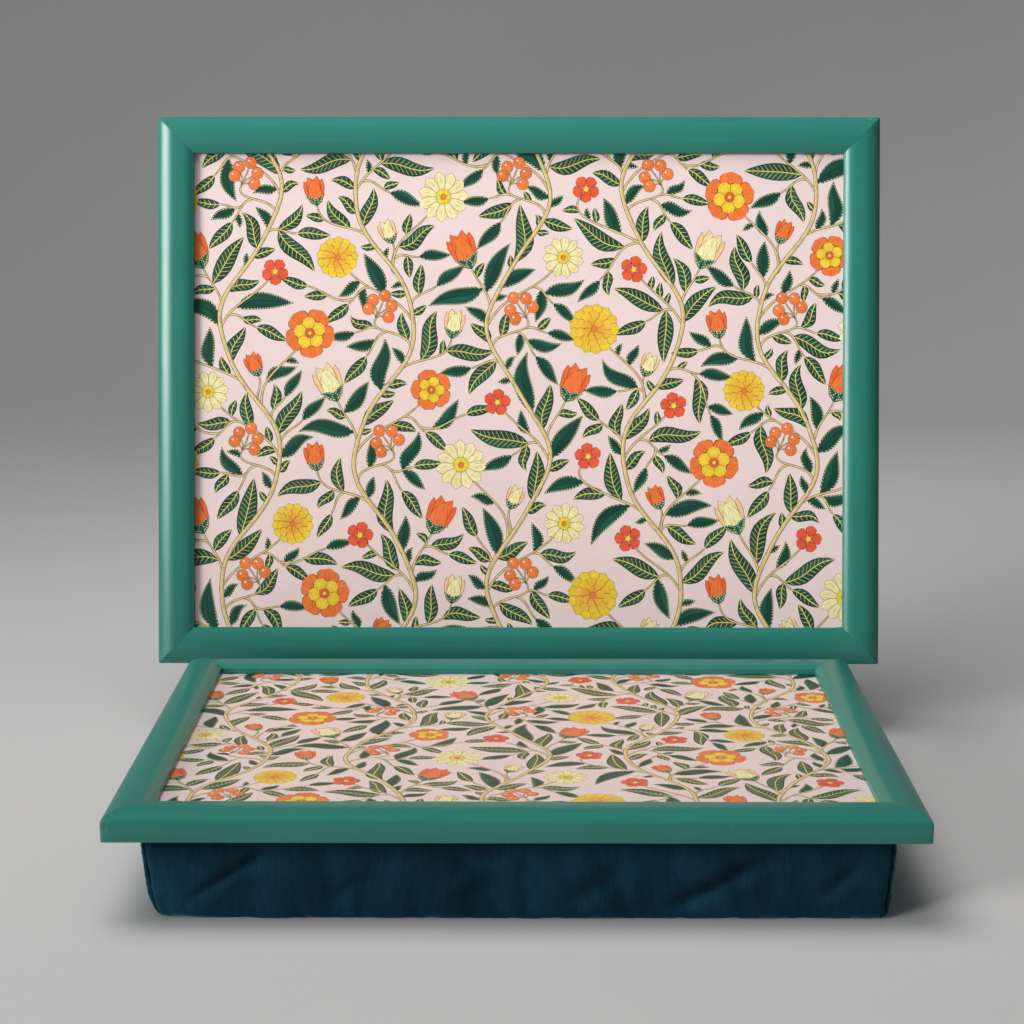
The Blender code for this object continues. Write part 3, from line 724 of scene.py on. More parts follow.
def nail_slots(name, length, depth):
    """Cutters for the two corner nails at the ends of a rail, in the rail's own coordinates."""
    t = NAIL_T / 2 + NAIL_FIT
    leg = NAIL_LEG + NAIL_FIT
    outline = [(-t, -t), (leg, -t), (leg, t), (t, t), (t, leg), (-t, leg)]
    n = len(outline)
    points = []
    faces = []
    for side in (1, -1):
        centre_x = side * (NAIL_FROM_CORNER - length / 2)
        centre_y = NAIL_FROM_CORNER - depth / 2
        first = len(points)
        for z in (-MM, NAIL_H + NAIL_FIT):
            points += [(centre_x + side * a, centre_y + b, z) for a, b in outline]
        faces += [tuple(first + i for i in face) for face in ring_faces(2, n)]
        faces.append(tuple(range(first, first + n))[::-1])
        faces.append(tuple(range(first + n, first + 2 * n)))
    mesh = new_mesh(name, points, faces)
    edit_mesh(mesh)
    return new_object(name, mesh)


def nearest_node(names, centre):
    """The node among these whose box is centred nearest to a point."""
    def distance(name):
        low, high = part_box(name)
        return ((low + high) / 2 - centre).length
    return min(names, key=distance)


def rail_edges(points, length, depth):
    """Mask of a rail's outer arris and corners, where the paint rubs thin."""
    from_end = length / 2 - np.abs(points[:, 0])
    from_side = points[:, 1] + depth / 2
    arris = np.exp(-(from_side / ARRIS_W) ** 2) * np.clip(points[:, 2] / OUTER_FLAT, 0, 1)
    corner = np.exp(-(np.hypot(from_end, from_side) / CORNER_W) ** 2)
    return np.clip(arris * 0.75 + corner, 0, 1)


def make_rails(prefix, length, depth, place, body, mat, settings):
    """Four painted rails, each in the place of the solid rail that it stands for."""
    left = [f"{prefix}_rail_{side}" for side in ("front", "right", "back", "left")]
    for k, (long, across) in enumerate(((length, depth), (depth, length)) * 2):
        matrix = place @ Matrix.Rotation(math.pi / 2 * k, 4, "Z")
        node = nearest_node(left, matrix @ Vector((0, RAIL_W / 2 - across / 2, RAIL_H / 2)))
        left.remove(node)
        rail = new_object(node + "_painted", rail_mesh(node + "_painted", long, across, settings))
        cutter = nail_slots(node + "_slots", long, across)
        modifier = rail.modifiers.new("nail slots", "BOOLEAN")
        modifier.object = cutter
        modifier.solver = "EXACT"
        bake_modifiers(rail)
        bpy.data.objects.remove(cutter)
        give_mask(rail.data, "edge", rail_edges(mesh_points(rail.data), long, across))
        rail.data.shade_smooth()
        rail.data.set_sharp_from_angle(angle=SHARP_FROM)
        set_material(rail, mat)
        rail.matrix_world = matrix
        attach(rail, body)
        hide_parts(node)


# Print design, in millimetres

def leaf_law(t):
    """Width of a leaf along its length, as a share of the widest."""
    return np.sin(np.pi * t ** 0.8) ** 0.9


def petal_law(t):
    """The same for an open petal, which is widest near its tip."""
    return np.sin(np.pi * t ** 1.6) ** 0.6


def cup_law(t):
    """The same for a petal of a half open bloom."""
    return np.sin(np.pi * t ** 0.85) ** 0.6


class Shape:
    """One inked shape: its outline, its layer, its ink, and a function to its own coordinates."""

    def __init__(self, outline, layer, ink, own):
        self.outline = outline
        self.layer = layer
        self.ink = ink
        self.own = own


def heading(angle):
    """A step of one in a direction."""
    return np.array((math.cos(angle), math.sin(angle)))


def run_along(path):
    """Distance along a path at each of its points."""
    return np.concatenate([[0], np.cumsum(np.linalg.norm(np.diff(path, axis=0), axis=1))])


def midline(t, length, bend, wave):
    """How far a leaf's midrib bows to its left at a share of its length."""
    return length * (4 * bend * t * (1 - t) + wave * np.sin(2 * np.pi * t))


def blade(base, angle, length, width, bend, law, layer, inks, steps=8, wave=0.0):
    """A leaf or petal as two halves beside a bowed or waved midline, in one ink or two."""
    base = np.asarray(base, float)
    ahead = heading(angle)
    aside = heading(angle + math.pi / 2)

    def own(points):
        """Along, across and distance to the edge, for points on the outline or inside it."""
        x = (points - base) @ ahead
        t = np.clip(x / length, 0, 1)
        y = (points - base) @ aside - midline(t, length, bend, wave)
        rim = width / 2 * law(np.clip(t, 1e-6, 1 - 1e-6)) - np.abs(y)
        return np.stack([x, y, np.maximum(rim, 0)], -1)

    def at(y):
        return base + np.outer(length * t, ahead) + np.outer(y, aside)

    t = np.linspace(0, 1, steps + 1)
    half = np.zeros(steps + 1)
    half[1:-1] = width / 2 * law(t[1:-1])
    mid = midline(t, length, bend, wave)
    spine, left, right = at(mid), at(mid + half), at(mid - half)
    left_half = np.concatenate([spine, left[-2:0:-1]])
    right_half = np.concatenate([spine[:1], right[1:-1], spine[:0:-1]])
    return [Shape(left_half, layer, inks[0], own), Shape(right_half, layer, inks[-1], own)]


def disc(centre, radius, ink, steps, layer=DOT):
    """A round as two halves."""
    centre = np.asarray(centre, float)

    def own(points):
        offset = points - centre
        rim = np.maximum(radius - np.hypot(offset[:, 0], offset[:, 1]), 0)
        return np.stack([offset[:, 0], offset[:, 1], rim], -1)

    halves = []
    for start in (0, math.pi):
        angles = start + np.pi * np.arange(steps // 2 + 1) / (steps // 2)
        arc = centre + radius * np.stack([np.cos(angles), np.sin(angles)], -1)
        halves.append(Shape(np.concatenate([arc, [centre]]), layer, ink, own))
    return halves


def strip(path, widths, ink):
    """A stem along a path, as two halves."""
    path = np.asarray(path, float)
    widths = np.asarray(widths, float)
    tangent = np.gradient(path, axis=0)
    tangent /= np.linalg.norm(tangent, axis=1)[:, None]
    normal = np.stack([-tangent[:, 1], tangent[:, 0]], -1)
    left = path + normal * widths[:, None] / 2
    right = path - normal * widths[:, None] / 2
    span = np.diff(path, axis=0)
    steps = np.linalg.norm(span, axis=1)
    run = run_along(path)

    def own(points):
        offset = points[:, None, :] - path[None, :-1]
        t = np.clip((offset * span).sum(-1) / (span ** 2).sum(-1), 0, 1)
        gap = points[:, None, :] - (path[:-1] + t[..., None] * span)
        distance = np.hypot(gap[..., 0], gap[..., 1])
        k = distance.argmin(1)
        rows = np.arange(len(points))
        along = run[k] + t[rows, k] * steps[k]
        side = span[k, 0] * gap[rows, k, 1] - span[k, 1] * gap[rows, k, 0]
        across = np.sign(side) * distance[rows, k]
        width = np.interp(along, run, widths)
        return np.stack([along, across, np.maximum(width / 2 - np.abs(across), 0)], -1)

    halves = (np.concatenate([path, left[::-1]]), np.concatenate([right, path[::-1]]))
    return [Shape(half, STEM, ink, own) for half in halves]


def bezier(p0, d0, p1, d1, steps):
    """A curve from p0 along d0 to p1 along d1."""
    p0, p1 = np.asarray(p0, float), np.asarray(p1, float)
    reach = 0.42 * np.linalg.norm(p1 - p0)
    a = p0 + reach * np.asarray(d0)
    b = p1 - reach * np.asarray(d1)
    t = np.linspace(0, 1, steps + 1)[:, None]
    return (1 - t) ** 3 * p0 + 3 * t * (1 - t) ** 2 * a + 3 * t * t * (1 - t) * b + t ** 3 * p1


# Round blooms, in shares of their radius: rows of petals as (number, root, length, width, ink, tint), the
# discs of the eye as (radius, ink, steps), the spread of a petal's tone, and a petal's steps
BLOOMS = {
    "pompom": (
        (
            (13, 0.42, 0.58, 0.50, "yellow", (1.0, 0.97, 1.0)),
            (10, 0.22, 0.52, 0.46, "yellow", (1.0, 0.84, 1.0)),
            (7, 0.00, 0.45, 0.36, "yellow", (1.0, 0.71, 1.0)),
        ),
        ((0.13, "orange", 9),), 0.06, 5,
    ),
    "daisy": (
        ((11, 0.10, 0.90, 0.46, "cream", (1.0, 1.0, 1.0)),),
        ((0.30, "yellow", 14), (0.12, "orange", 9)), 0.05, 6,
    ),
    "rosette": (
        (
            (5, 0.14, 0.86, 0.92, "orange", (1.0, 1.0, 1.0)),
            (5, 0.05, 0.58, 0.60, "yellow", (1.0, 1.0, 1.0)),
        ),
        ((0.20, "red", 14), (0.09, "yellow", 8)), 0.06, 7,
    ),
    "blossom": (
        ((5, 0.08, 0.92, 0.84, "red", (1.0, 1.0, 1.0)),),
        ((0.22, "yellow", 9),), 0.06, 6,
    ),
}

# Petals of a tulip as (turn, length, width, bend, shade), the last on top
CUP_PETALS = (
    (0.34, 0.92, 0.40, -0.05, 0.72),
    (-0.34, 0.92, 0.40, 0.05, 0.72),
    (0.16, 1.0, 0.42, -0.07, 0.88),
    (-0.16, 1.0, 0.42, 0.07, 0.88),
    (0.0, 0.86, 0.46, 0.0, 1.0),
)

# Leaves under a tulip as (turn, setback, length, width, bend, steps)
CUP_LEAVES = (
    (0.75, 0.0, 0.46, 0.17, -0.14, 7),
    (-0.75, 0.0, 0.46, 0.17, 0.14, 7),
    (0.0, 0.02, 0.30, 0.22, 0.0, 6),
)

# Berries of a cluster as (turn, reach)
BERRIES = ((-0.95, 0.52), (-0.42, 0.82), (0.10, 1.0), (0.62, 0.76), (1.12, 0.49))

# Leaves that are tried, as (length, width), the largest first
LEAF_SIZES = (
    (40, 12), (35, 11.5), (30, 10.5), (26, 9.6), (22, 8.6), (18.5, 7.6), (15, 6.6), (12, 5.5), (9.5, 4.6))

# How far past the sheet's edge vines, blooms, twigs and leaves may start
VINE_MARGIN = 24.0
BLOOM_MARGIN = 30.0
TWIG_MARGIN = 8.0
LEAF_MARGIN = 12.0

# Widths of a vine and of a stalk or twig, at its foot and at its tip, and the points along each
VINE_WIDTHS = (3.3, 2.9)
STALK_WIDTHS = (1.9, 1.3)
BERRY_STALK_W = 1.1
VINE_POINTS = 70
STALK_STEPS = 15
TWIG_STEPS = 9
BERRY_STEPS = 4

# Owners of taken places that are no stem
BLOOM_OWNER = -1
LEAF_OWNER = -2

# An empty place as wide as TWIG_ROOM gets a twig, from a stem that is between TWIG_REACH away and that
# heads at least partly there. The nearest ones are tried first.
TWIG_ROOM = 12.5
TWIG_REACH = (12, 60)
TWIG_HEADING = 0.25
TWIG_TRIES = 40

# How far a twig and a leaf keep from the rest, and the gaps between the places that are tried for them
TWIG_CLEARANCE = 2.5
LEAF_CLEARANCE = 1.0
SPOT_GAP = 4.0
LEAF_GAP = 1.7
NEAR = 25


class Design:
    """A repeat of mirrored vines with blooms between them, grown over with leaves."""

    def __init__(self, settings, half_x, half_y):
        self.rng = random.Random(settings.seed)
        self.half = np.array((half_x, half_y))
        self.gap = settings.vine_gap
        self.swing = settings.vine_swing
        self.period = settings.vine_period
        self.columns = math.ceil((half_x + self.gap) / self.gap)
        keys = ("yellow", "orange", "red", "cream", "leaf", "stem")
        self.inks = {key: np.array(getattr(settings, key)) for key in keys}
        self.discs = np.empty((0, 4))
        self.stems = []
        self.leaves = []
        self.blooms = []

    def inside(self, spot, margin):
        """Whether a place lies on the sheet or within a margin round it."""
        return (np.abs(spot) < self.half + margin).all()

    def take(self, centres, radii, owner):
        """Marks discs of the sheet as taken by a stem's number, BLOOM_OWNER or LEAF_OWNER."""
        centres = np.atleast_2d(centres)
        rows = np.empty((len(centres), 4))
        rows[:, :2] = centres
        rows[:, 2] = radii
        rows[:, 3] = owner
        self.discs = np.concatenate([self.discs, rows])

    def tone(self, ink, spread):
        """An ink made a little lighter or darker."""
        return np.clip(ink * self.rng.uniform(1 - spread, 1 + spread), 0, 1)

    def add_stem(self, path, foot_and_tip):
        """A stem with its widths at both ends."""
        widths = np.linspace(*foot_and_tip, len(path))
        self.take(path, widths / 2, len(self.stems))
        self.stems.append((strip(path, widths, self.inks["stem"]), np.asarray(path)))

    def bloom(self, kind, centre, radius):
        """Rows of petals round an eye."""
        rows, eye, spread, steps = BLOOMS[kind]
        start = self.rng.uniform(0, 1)
        for row, (count, root, length, width, key, tint) in enumerate(rows):
            for k in range(count):
                angle = 2 * math.pi * (k + start + 0.5 * row) / count
                base = centre + root * radius * heading(angle)
                inks = [self.tone(self.inks[key] * tint, spread)]
                size = (length * radius, width * radius)
                self.blooms += blade(base, angle, *size, 0, petal_law, PETAL, inks, steps)
        for share, key, corners in eye:
            self.blooms += disc(centre, share * radius, self.inks[key], corners)

    def tulip(self, base, angle, length, key):
        """A half open bloom seen from its side."""
        for turn, long, wide, bend, shade in CUP_PETALS:
            inks = [self.inks[key] * (1.0, shade, shade)]
            size = (long * length, wide * length)
            self.blooms += blade(base, angle + turn, *size, bend, cup_law, PETAL, inks, 6)
        green = [self.inks["leaf"] * 1.6]
        for turn, setback, long, wide, bend, steps in CUP_LEAVES:
            foot = base - setback * length * heading(angle)
            size = (long * length, wide * length)
            self.blooms += blade(foot, angle + turn, *size, bend, leaf_law, FRINGED, green, steps)

    def berries(self, base, angle, size, key):
        """A cluster of berries on short stalks, each with a light spot."""
        for turn, reach in BERRIES:
            centre = base + reach * size * heading(angle + turn)
            path = bezier(base, heading(angle), centre, heading(angle + turn), BERRY_STEPS)
            widths = [BERRY_STALK_W] * len(path)
            self.stems.append((strip(path, widths, self.inks["stem"]), path[:0]))
            self.blooms += disc(centre, 0.25 * size, self.tone(self.inks[key], 0.10), 14)
            self.blooms += disc(centre + (-1.2, 1.3), 0.8, self.inks["cream"], 6, GROUND)

    def vine_x(self, column, y):
        """How far right a vine is at a height."""
        side = 1 if column % 2 else -1
        return column * self.gap + side * self.swing * math.sin(2 * math.pi * y / self.period)

    def grow_vines(self):
        """Vines up the whole sheet, each the mirror image of the next."""
        top = self.half[1] + VINE_MARGIN
        for column in range(-self.columns, self.columns + 1):
            if abs(column * self.gap) < self.half[0] + self.swing + VINE_MARGIN:
                ys = np.linspace(-top, top, VINE_POINTS)
                path = [(self.vine_x(column, y) + 1.2 * math.sin(y / 9.0 + column), y) for y in ys]
                self.add_stem(path, VINE_WIDTHS)

    def grow_blooms(self):
        """Blooms in each lens and waist between two vines, each on a stalk from the vine beside it."""
        rows = math.ceil(self.half[1] / self.period) + 1
        for column in range(-self.columns, self.columns):
            widest = 0.75 if column % 2 else 0.25
            for row in range(-rows, rows):
                centre = np.array(((column + 0.5) * self.gap, (row + widest) * self.period))
                index = (column * 2 + row * 3) % 3
                self.fill_lens(column, centre, index)
                self.fill_waist(column, centre + (0.0, self.period / 2), index)

    def fill_lens(self, column, centre, index):
        """What grows where two vines are far apart."""
        kinds = ("pompom", "daisy", "rosette", "pompom")
        side = 1 if self.rng.random() < 0.5 else -1
        left, right = (column, column + 1) if side > 0 else (column + 1, column)
        self.place(kinds[index], left, centre + (-5.0 * side, -4.0), 17.5, -side)
        self.place(kinds[index + 1], right, centre + (15.0 * side, 46.0), 14.5, side)
        one, other = ("cream", "orange") if kinds[index] == "rosette" else ("orange", "cream")
        self.nod(self.tulip, right, centre + (14.0 * side, -53.0), 24 * side, 28.0, one)
        self.nod(self.tulip, left, centre + (-40.0 * side, -36.0), 22 * side, 18.0, other)
        self.nod(self.berries, right, centre + (40.0 * side, 4.0), -28 * side, 17.0, "orange")
        self.place("blossom", left, centre + (-31.0 * side, 36.0), 9.5, -side)

    def fill_waist(self, column, centre, index):
        """What grows where they come close."""
        side = 1 if index % 2 else -1
        foot = column if side > 0 else column + 1
        if index == 0:
            self.place("blossom", foot, centre, 9.5, side)
        else:
            key = "cream" if index == 1 else "orange"
            self.nod(self.tulip, foot, centre + (0.0, -10.0), -10 * side, 21.0, key)

    def place(self, kind, column, centre, size, side):
        """A round bloom of one kind on its stalk."""
        centre = centre + np.array((self.rng.uniform(-2, 2), self.rng.uniform(-2, 2)))
        if self.inside(centre, BLOOM_MARGIN):
            arrive = heading(math.radians(90 + 38 * side))
            self.stalk(column, centre - 0.5 * size * arrive, arrive, 26 + size)
            self.bloom(kind, centre, size)
            self.take(centre, size + 0.6, BLOOM_OWNER)

    def nod(self, draw, column, spot, lean, size, key):
        """A tulip or a cluster at the end of its stalk, which leans by so many degrees."""
        if self.inside(spot, BLOOM_MARGIN):
            angle = math.radians(90 + lean)
            self.stalk(column, spot, heading(angle), 0.55 * size + 10)
            draw(spot, angle, size, key)
            self.take(spot + 0.52 * size * heading(angle), 0.46 * size, BLOOM_OWNER)

    def stalk(self, column, end, direction, drop):
        """A stalk that leaves a vine below its bloom and arrives along a direction."""
        y = end[1] - drop
        start = np.array((self.vine_x(column, y), y))
        leave = np.array((self.vine_x(column, y + 1) - start[0], 1.0))
        leave = leave / np.linalg.norm(leave) + 0.5 * np.sign(end[0] - start[0]) * np.array((1.0, 0.0))
        leave /= np.linalg.norm(leave)
        self.add_stem(bezier(start, leave, end, direction, STALK_STEPS), STALK_WIDTHS)

    def grow_twigs(self):
        """Twigs into the widest empty places."""
        axes = [np.arange(-half - TWIG_MARGIN, half + TWIG_MARGIN, SPOT_GAP) for half in self.half]
        spots = np.stack(np.meshgrid(*axes), -1).reshape(-1, 2)
        clear = np.full(len(spots), 99.0)
        counted = 0
        while True:
            for x, y, radius, _ in self.discs[counted:]:
                clear = np.minimum(clear, np.hypot(spots[:, 0] - x, spots[:, 1] - y) - radius)
            counted = len(self.discs)
            best = int(clear.argmax())
            if clear[best] < TWIG_ROOM:
                return
            self.grow_twig(spots[best], clear[best])
            spots = np.delete(spots, best, 0)
            clear = np.delete(clear, best)

    def grow_twig(self, spot, clear):
        """A twig with a leaf at its end, from the nearest stem with a clear way to a place."""
        starts = []
        for owner, (_, path) in enumerate(self.stems):
            for k in range(1, len(path) - 2):
                away = np.linalg.norm(spot - path[k])
                ahead = (path[k + 1] - path[k]) / np.linalg.norm(path[k + 1] - path[k])
                toward = (spot - path[k]) / away
                if TWIG_REACH[0] < away < TWIG_REACH[1] and ahead @ toward > TWIG_HEADING:
                    starts.append((away, owner, path[k], ahead, toward))
        starts.sort(key=lambda start: start[0])
        for _, owner, start, ahead, toward in starts[:TWIG_TRIES]:
            leave = 0.75 * ahead + 0.65 * toward
            path = bezier(start, leave / np.linalg.norm(leave), spot, toward, TWIG_STEPS)
            others = self.discs[self.discs[:, 3] != owner]
            away = np.hypot(path[3:, None, 0] - others[:, 0], path[3:, None, 1] - others[:, 1])
            if (away - others[:, 2]).min() >= TWIG_CLEARANCE:
                self.add_stem(path, STALK_WIDTHS)
                angle = math.atan2(toward[1], toward[0])
                length = min(26.0, 10 + 0.8 * clear)
                self.add_leaf(spot, angle, length, 0.36 * length, 0.02, 0.02)
                shares = np.linspace(0.1, 0.95, 7)
                line = spot + np.outer(length * shares, heading(angle))
                self.take(line, 0.18 * length * leaf_law(shares), LEAF_OWNER)
                return

    def add_leaf(self, base, angle, length, width, bend, wave):
        """A leaf with one half darker than the other."""
        layer = VEINED if self.rng.random() < 0.6 else FRINGED
        inks = [self.tone(self.inks["leaf"], 0.15), self.tone(self.inks["leaf"] * 0.72, 0.12)]
        steps = 8 if length > 20 else 6
        self.leaves += blade(base, angle, length, width, bend, leaf_law, layer, inks, steps, wave)

    def leaf_spots(self):
        """Places along every stem as (its number, x, y, the stem's heading)."""
        spots = []
        for owner, (_, path) in enumerate(self.stems):
            if len(path) < 3:
                continue
            run = run_along(path)
            for along in np.arange(3.0, run[-1] - 1.0, LEAF_GAP):
                k = min(int(np.searchsorted(run, along)), len(path) - 1)
                ahead = path[k] - path[k - 1]
                spot = path[k - 1] + ahead * (along - run[k - 1]) / (run[k] - run[k - 1])
                if self.inside(spot, LEAF_MARGIN):
                    spots.append((owner, *spot, math.atan2(ahead[1], ahead[0])))
        return spots

    def grow_leaves(self):
        """Leaves from every stem, the largest first, wherever one fits."""
        spots = self.leaf_spots()
        shares = np.linspace(0.22, 1.0, 8)
        for length, width in LEAF_SIZES:
            self.rng.shuffle(spots)
            for owner, x, y, along in spots:
                side = self.rng.choice((-1, 1))
                angle = along + side * math.radians(self.rng.uniform(22, 76))
                bend = -side * self.rng.uniform(-0.06, 0.17)
                wave = self.rng.uniform(-0.06, 0.06)
                scale = self.rng.uniform(0.92, 1.08)
                sag = midline(shares, length * scale, bend, wave)
                line = np.outer(length * scale * shares, heading(angle))
                line += np.array((x, y)) + np.outer(sag, heading(angle + math.pi / 2))
                reach = scale * width / 2 * leaf_law(shares.clip(0, 0.999))
                low = line.min(0) - NEAR
                high = line.max(0) + NEAR
                near = self.discs[((self.discs[:, :2] > low) & (self.discs[:, :2] < high)).all(1)]
                away = np.hypot(line[:, None, 0] - near[:, 0], line[:, None, 1] - near[:, 1])
                room = away - reach[:, None] - near[:, 2] - LEAF_CLEARANCE
                room[:4, near[:, 3] == owner] = 1.0
                if room.min() > 0:
                    self.take(line, reach, LEAF_OWNER)
                    self.add_leaf((x, y), angle, length * scale, width * scale, bend, wave)

    def shapes(self):
        """All shapes that reach the sheet, the lowest first."""
        self.grow_vines()
        self.grow_blooms()
        self.grow_twigs()
        self.grow_leaves()
        stems = [half for halves, _ in reversed(self.stems) for half in halves]
        order = self.leaves + stems + self.blooms
        return [shape for shape in order if self.reaches(shape.outline)]

    def reaches(self, outline):
        """Whether a shape lies at least partly on the sheet."""
        return (outline.min(0) < self.half).all() and (outline.max(0) > -self.half).all()


# Where a sheet's sides lie on its square picture, and how large its underside is drawn there
PICTURE_MARGIN = 0.005
UNDER_SHARE = 0.2
LANES_FROM = 0.3
LANE_GAP = 0.02
LANE_W = 0.012
LANE_SHARE = 0.6


def sheet_map(mesh, top_count, half_x, half_y):
    """Places on a square picture: the printed top, and above it a small underside and the edges."""
    flat = np.empty(len(mesh.loops), np.int64)
    mesh.loops.foreach_get("vertex_index", flat)
    points = mesh_points(mesh)[flat] / MM
    scale = (1 - 2 * PICTURE_MARGIN) / (2 * half_x)
    places = np.column_stack([points[:, 0] + half_x, points[:, 1] + half_y]) * scale + PICTURE_MARGIN
    floor = 2 * PICTURE_MARGIN + 2 * half_y * scale
    for polygon in mesh.polygons:
        rows = np.arange(polygon.loop_start, polygon.loop_start + polygon.loop_total)
        if polygon.normal.z < -0.5:
            places[rows] = places[rows] * UNDER_SHARE + (0.0, floor)
        elif polygon.normal.z < 0.5:
            along_x = abs(polygon.normal.y) > abs(polygon.normal.x)
            run = points[rows, 0] + half_x if along_x else points[rows, 1] + half_y
            lane = LANE_GAP * (1 + 2 * along_x + (polygon.normal.x + polygon.normal.y > 0))
            places[rows, 0] = LANES_FROM + run * scale * LANE_SHARE
            places[rows, 1] = floor + lane + np.where(flat[rows] < top_count, LANE_W, 0.0)
    return places


def divide_sheet(shapes, half_x, half_y, scale):
    """A sheet's face in triangles: their corners' places, the triangles, and the topmost shape on each."""
    corners = [(-half_x, -half_y), (half_x, -half_y), (half_x, half_y), (-half_x, half_y)]
    points = [Vector(corner) for corner in corners]
    faces = [[0, 1, 2, 3]]
    for shape in shapes:
        first = len(points)
        points += [Vector(scale * point) for point in shape.outline]
        faces.append(list(range(first, len(points))))
    found = delaunay_2d_cdt(points, [], faces, 1, 1e-4, True)
    kept = [(triangle, max(sources)) for triangle, sources in zip(found[2], found[5]) if 0 in sources]
    used, triangles = np.unique([triangle for triangle, _ in kept], return_inverse=True)
    places = np.array([tuple(place) for place in found[0]])[used]
    return places, triangles.reshape(-1, 3), np.array([top for _, top in kept])


def rim_of(triangles):
    """The corners round the outside of a field of triangles, in their order."""
    edges = np.concatenate([triangles[:, [0, 1]], triangles[:, [1, 2]], triangles[:, [2, 0]]])
    directed = {tuple(edge) for edge in edges.tolist()}
    following = {a: b for a, b in directed if (b, a) not in directed}
    start = min(following)
    rim = [start]
    while following[rim[-1]] != start:
        rim.append(following[rim[-1]])
    return rim


def fill_sheet(name, shapes, half_x, half_y, scale, ground):
    """A thin closed sheet whose top is divided along the motifs' outlines."""
    places, triangles, tops = divide_sheet(shapes, half_x, half_y, scale)
    rim = rim_of(triangles)
    count = len(places)
    n = len(rim)
    top = np.column_stack([places * MM, np.zeros(count)])
    bottom = np.column_stack([places[rim] * MM, np.full(n, -SHEET_T)])
    faces = triangles.tolist()
    faces += [(rim[(i + 1) % n], rim[i], count + i, count + (i + 1) % n) for i in range(n)]
    faces.append([count + i for i in range(n)][::-1])
    mesh = new_mesh(name, np.concatenate([top, bottom]).tolist(), faces)

    own = np.zeros((len(mesh.loops), 2))
    ink = np.ones((len(mesh.loops), 4))
    ink[:, :3] = ground
    layer = np.zeros(len(mesh.polygons), np.int32)
    for number in np.unique(tops[tops > 0]):
        shape = shapes[number - 1]
        rows = np.flatnonzero(tops == number)
        corners = (rows[:, None] * 3 + np.arange(3)).ravel()
        place = shape.own(places[triangles[rows].ravel()] / scale)
        own[corners] = place[:, :2] / OWN_SCALE
        ink[corners, :3] = shape.ink
        ink[corners, 3] = place[:, 2] / RIM_SCALE
        layer[rows] = shape.layer
    mesh.uv_layers.new(name="motif").data.foreach_set("uv", own.ravel())
    baked = sheet_map(mesh, count, half_x, half_y)
    mesh.uv_layers.new(name="OFBake").data.foreach_set("uv", baked.ravel())
    mesh.color_attributes.new("ink", "FLOAT_COLOR", "CORNER").data.foreach_set("color", ink.ravel())
    mesh.polygons.foreach_set("material_index", layer)
    mesh.update()
    return mesh


def lay_print(name, body, length, depth, scale, place, shapes, mats, ground):
    """A printed sheet under the lips of one frame."""
    half_x, half_y = ((side / 2 - RAIL_W + RABBET_W - GAP) / MM for side in (length, depth))
    mesh = fill_sheet(name + "_printed", shapes, half_x, half_y, scale, ground)
    sheet = new_object(name + "_printed", mesh)
    for mat in mats:
        mesh.materials.append(mat)
    sheet.matrix_world = place
    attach(sheet, body)
    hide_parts(name)


# Cushion

# Sides of the cushion before it is filled, as (height, inset of the front and back, inset of the ends),
# from the frame's outer edge
COVER_SIDE = (
    (0.0000, 0.0197, 0.0247),
    (0.0006, 0.0180, 0.0230),
    (0.0020, 0.0172, 0.0220),
    (0.0045, 0.0169, 0.0212),
    (0.0085, 0.0169, 0.0206),
    (0.0180, 0.0170, 0.0191),
    (0.0280, 0.0172, 0.0175),
    (0.0380, 0.0174, 0.0164),
    (0.0450, 0.0177, 0.0164),
    (0.0487, 0.0184, 0.0172),
)
COVER_HEIGHT = FRAME_Z - GAP
COVER_CORNER = 0.0072

# Rows of the cover: how much further in they lie under it, how many follow the foot's own heights, and how
# many stand above those
UNDER_INSETS = (0.030, 0.016, 0.007)
FOOT_ROWS = 4
SIDE_ROWS = 14

# Columns of the cover: their distances from a corner seam, and then the gap between the others
SEAM_STOPS = (0.0, 0.0014, 0.0029, 0.0045, 0.0063, 0.0085, 0.0112, 0.0145)
COLUMN_GAP = 0.0045
SEWN_W = 0.0008

# The cloth of the simulation, and how long it runs
CLOTH = {
    "quality": 6,
    "mass": 0.3,
    "tension_stiffness": 15,
    "compression_stiffness": 10,
    "shear_stiffness": 4,
    "bending_stiffness": 0.35,
    "use_pressure": True,
    "shrink_min": -0.02,
}
CLOTH_FRAMES = 20
UNEVEN_FILL = 0.0012
UNEVEN_SCALE = 34.0

# How far right the whole cushion stands at the ground, as a share of the lean
LEAN_AT_GROUND = 1.3

# A seam's groove, and the puckers beside it: depth, middle and width of their band, and pitch
GROOVE_W = 0.0008
GROOVE_REACH = 0.012
PUCKER_DEPTH = 0.00028
PUCKER_FROM = 0.0035
PUCKER_W = 0.0030
PUCKER_PITCH = 0.0075
SIDE_REACH = 0.02

# Heights over which grooves and creases fade in above the ground and out below the frame
FADE_AT_GROUND = 0.006
FADE_AT_TOP = 0.003

# Half lengths of the sides between the corner seams, and the painted light near both ends of each side:
# its reach along the side, and the middle and spread of its band in shares of the height
LONG_RUN = BASE_L / 2 - 0.0185
SHORT_RUN = BASE_D / 2 - 0.0175
PAINTED_END_LIGHT_W = 0.045
PAINTED_END_LIGHT_LEVEL = 0.35
PAINTED_END_LIGHT_SPREAD = 0.35

# Soft folds of a side: (share of the length, share of the height) at both ends, then the depth and
# the width in millimetres. Each is a valley with a ridge under it, or over it if the depth is negative.
# The cloth's colour also gets painted shade in each valley and a painted highlight on each ridge
CREASES = (
    ((0.060, 0.22), (0.150, 0.66), 1.5, 4.2),
    ((0.245, 0.20), (0.300, 0.50), 0.5, 5.0),
    ((0.400, 0.30), (0.470, 0.62), -0.4, 6.0),
    ((0.560, 0.18), (0.640, 0.55), 0.5, 6.0),
    ((0.705, 0.14), (0.820, 0.62), 1.3, 5.0),
    ((0.905, 0.30), (0.955, 0.62), 0.7, 4.2),
)


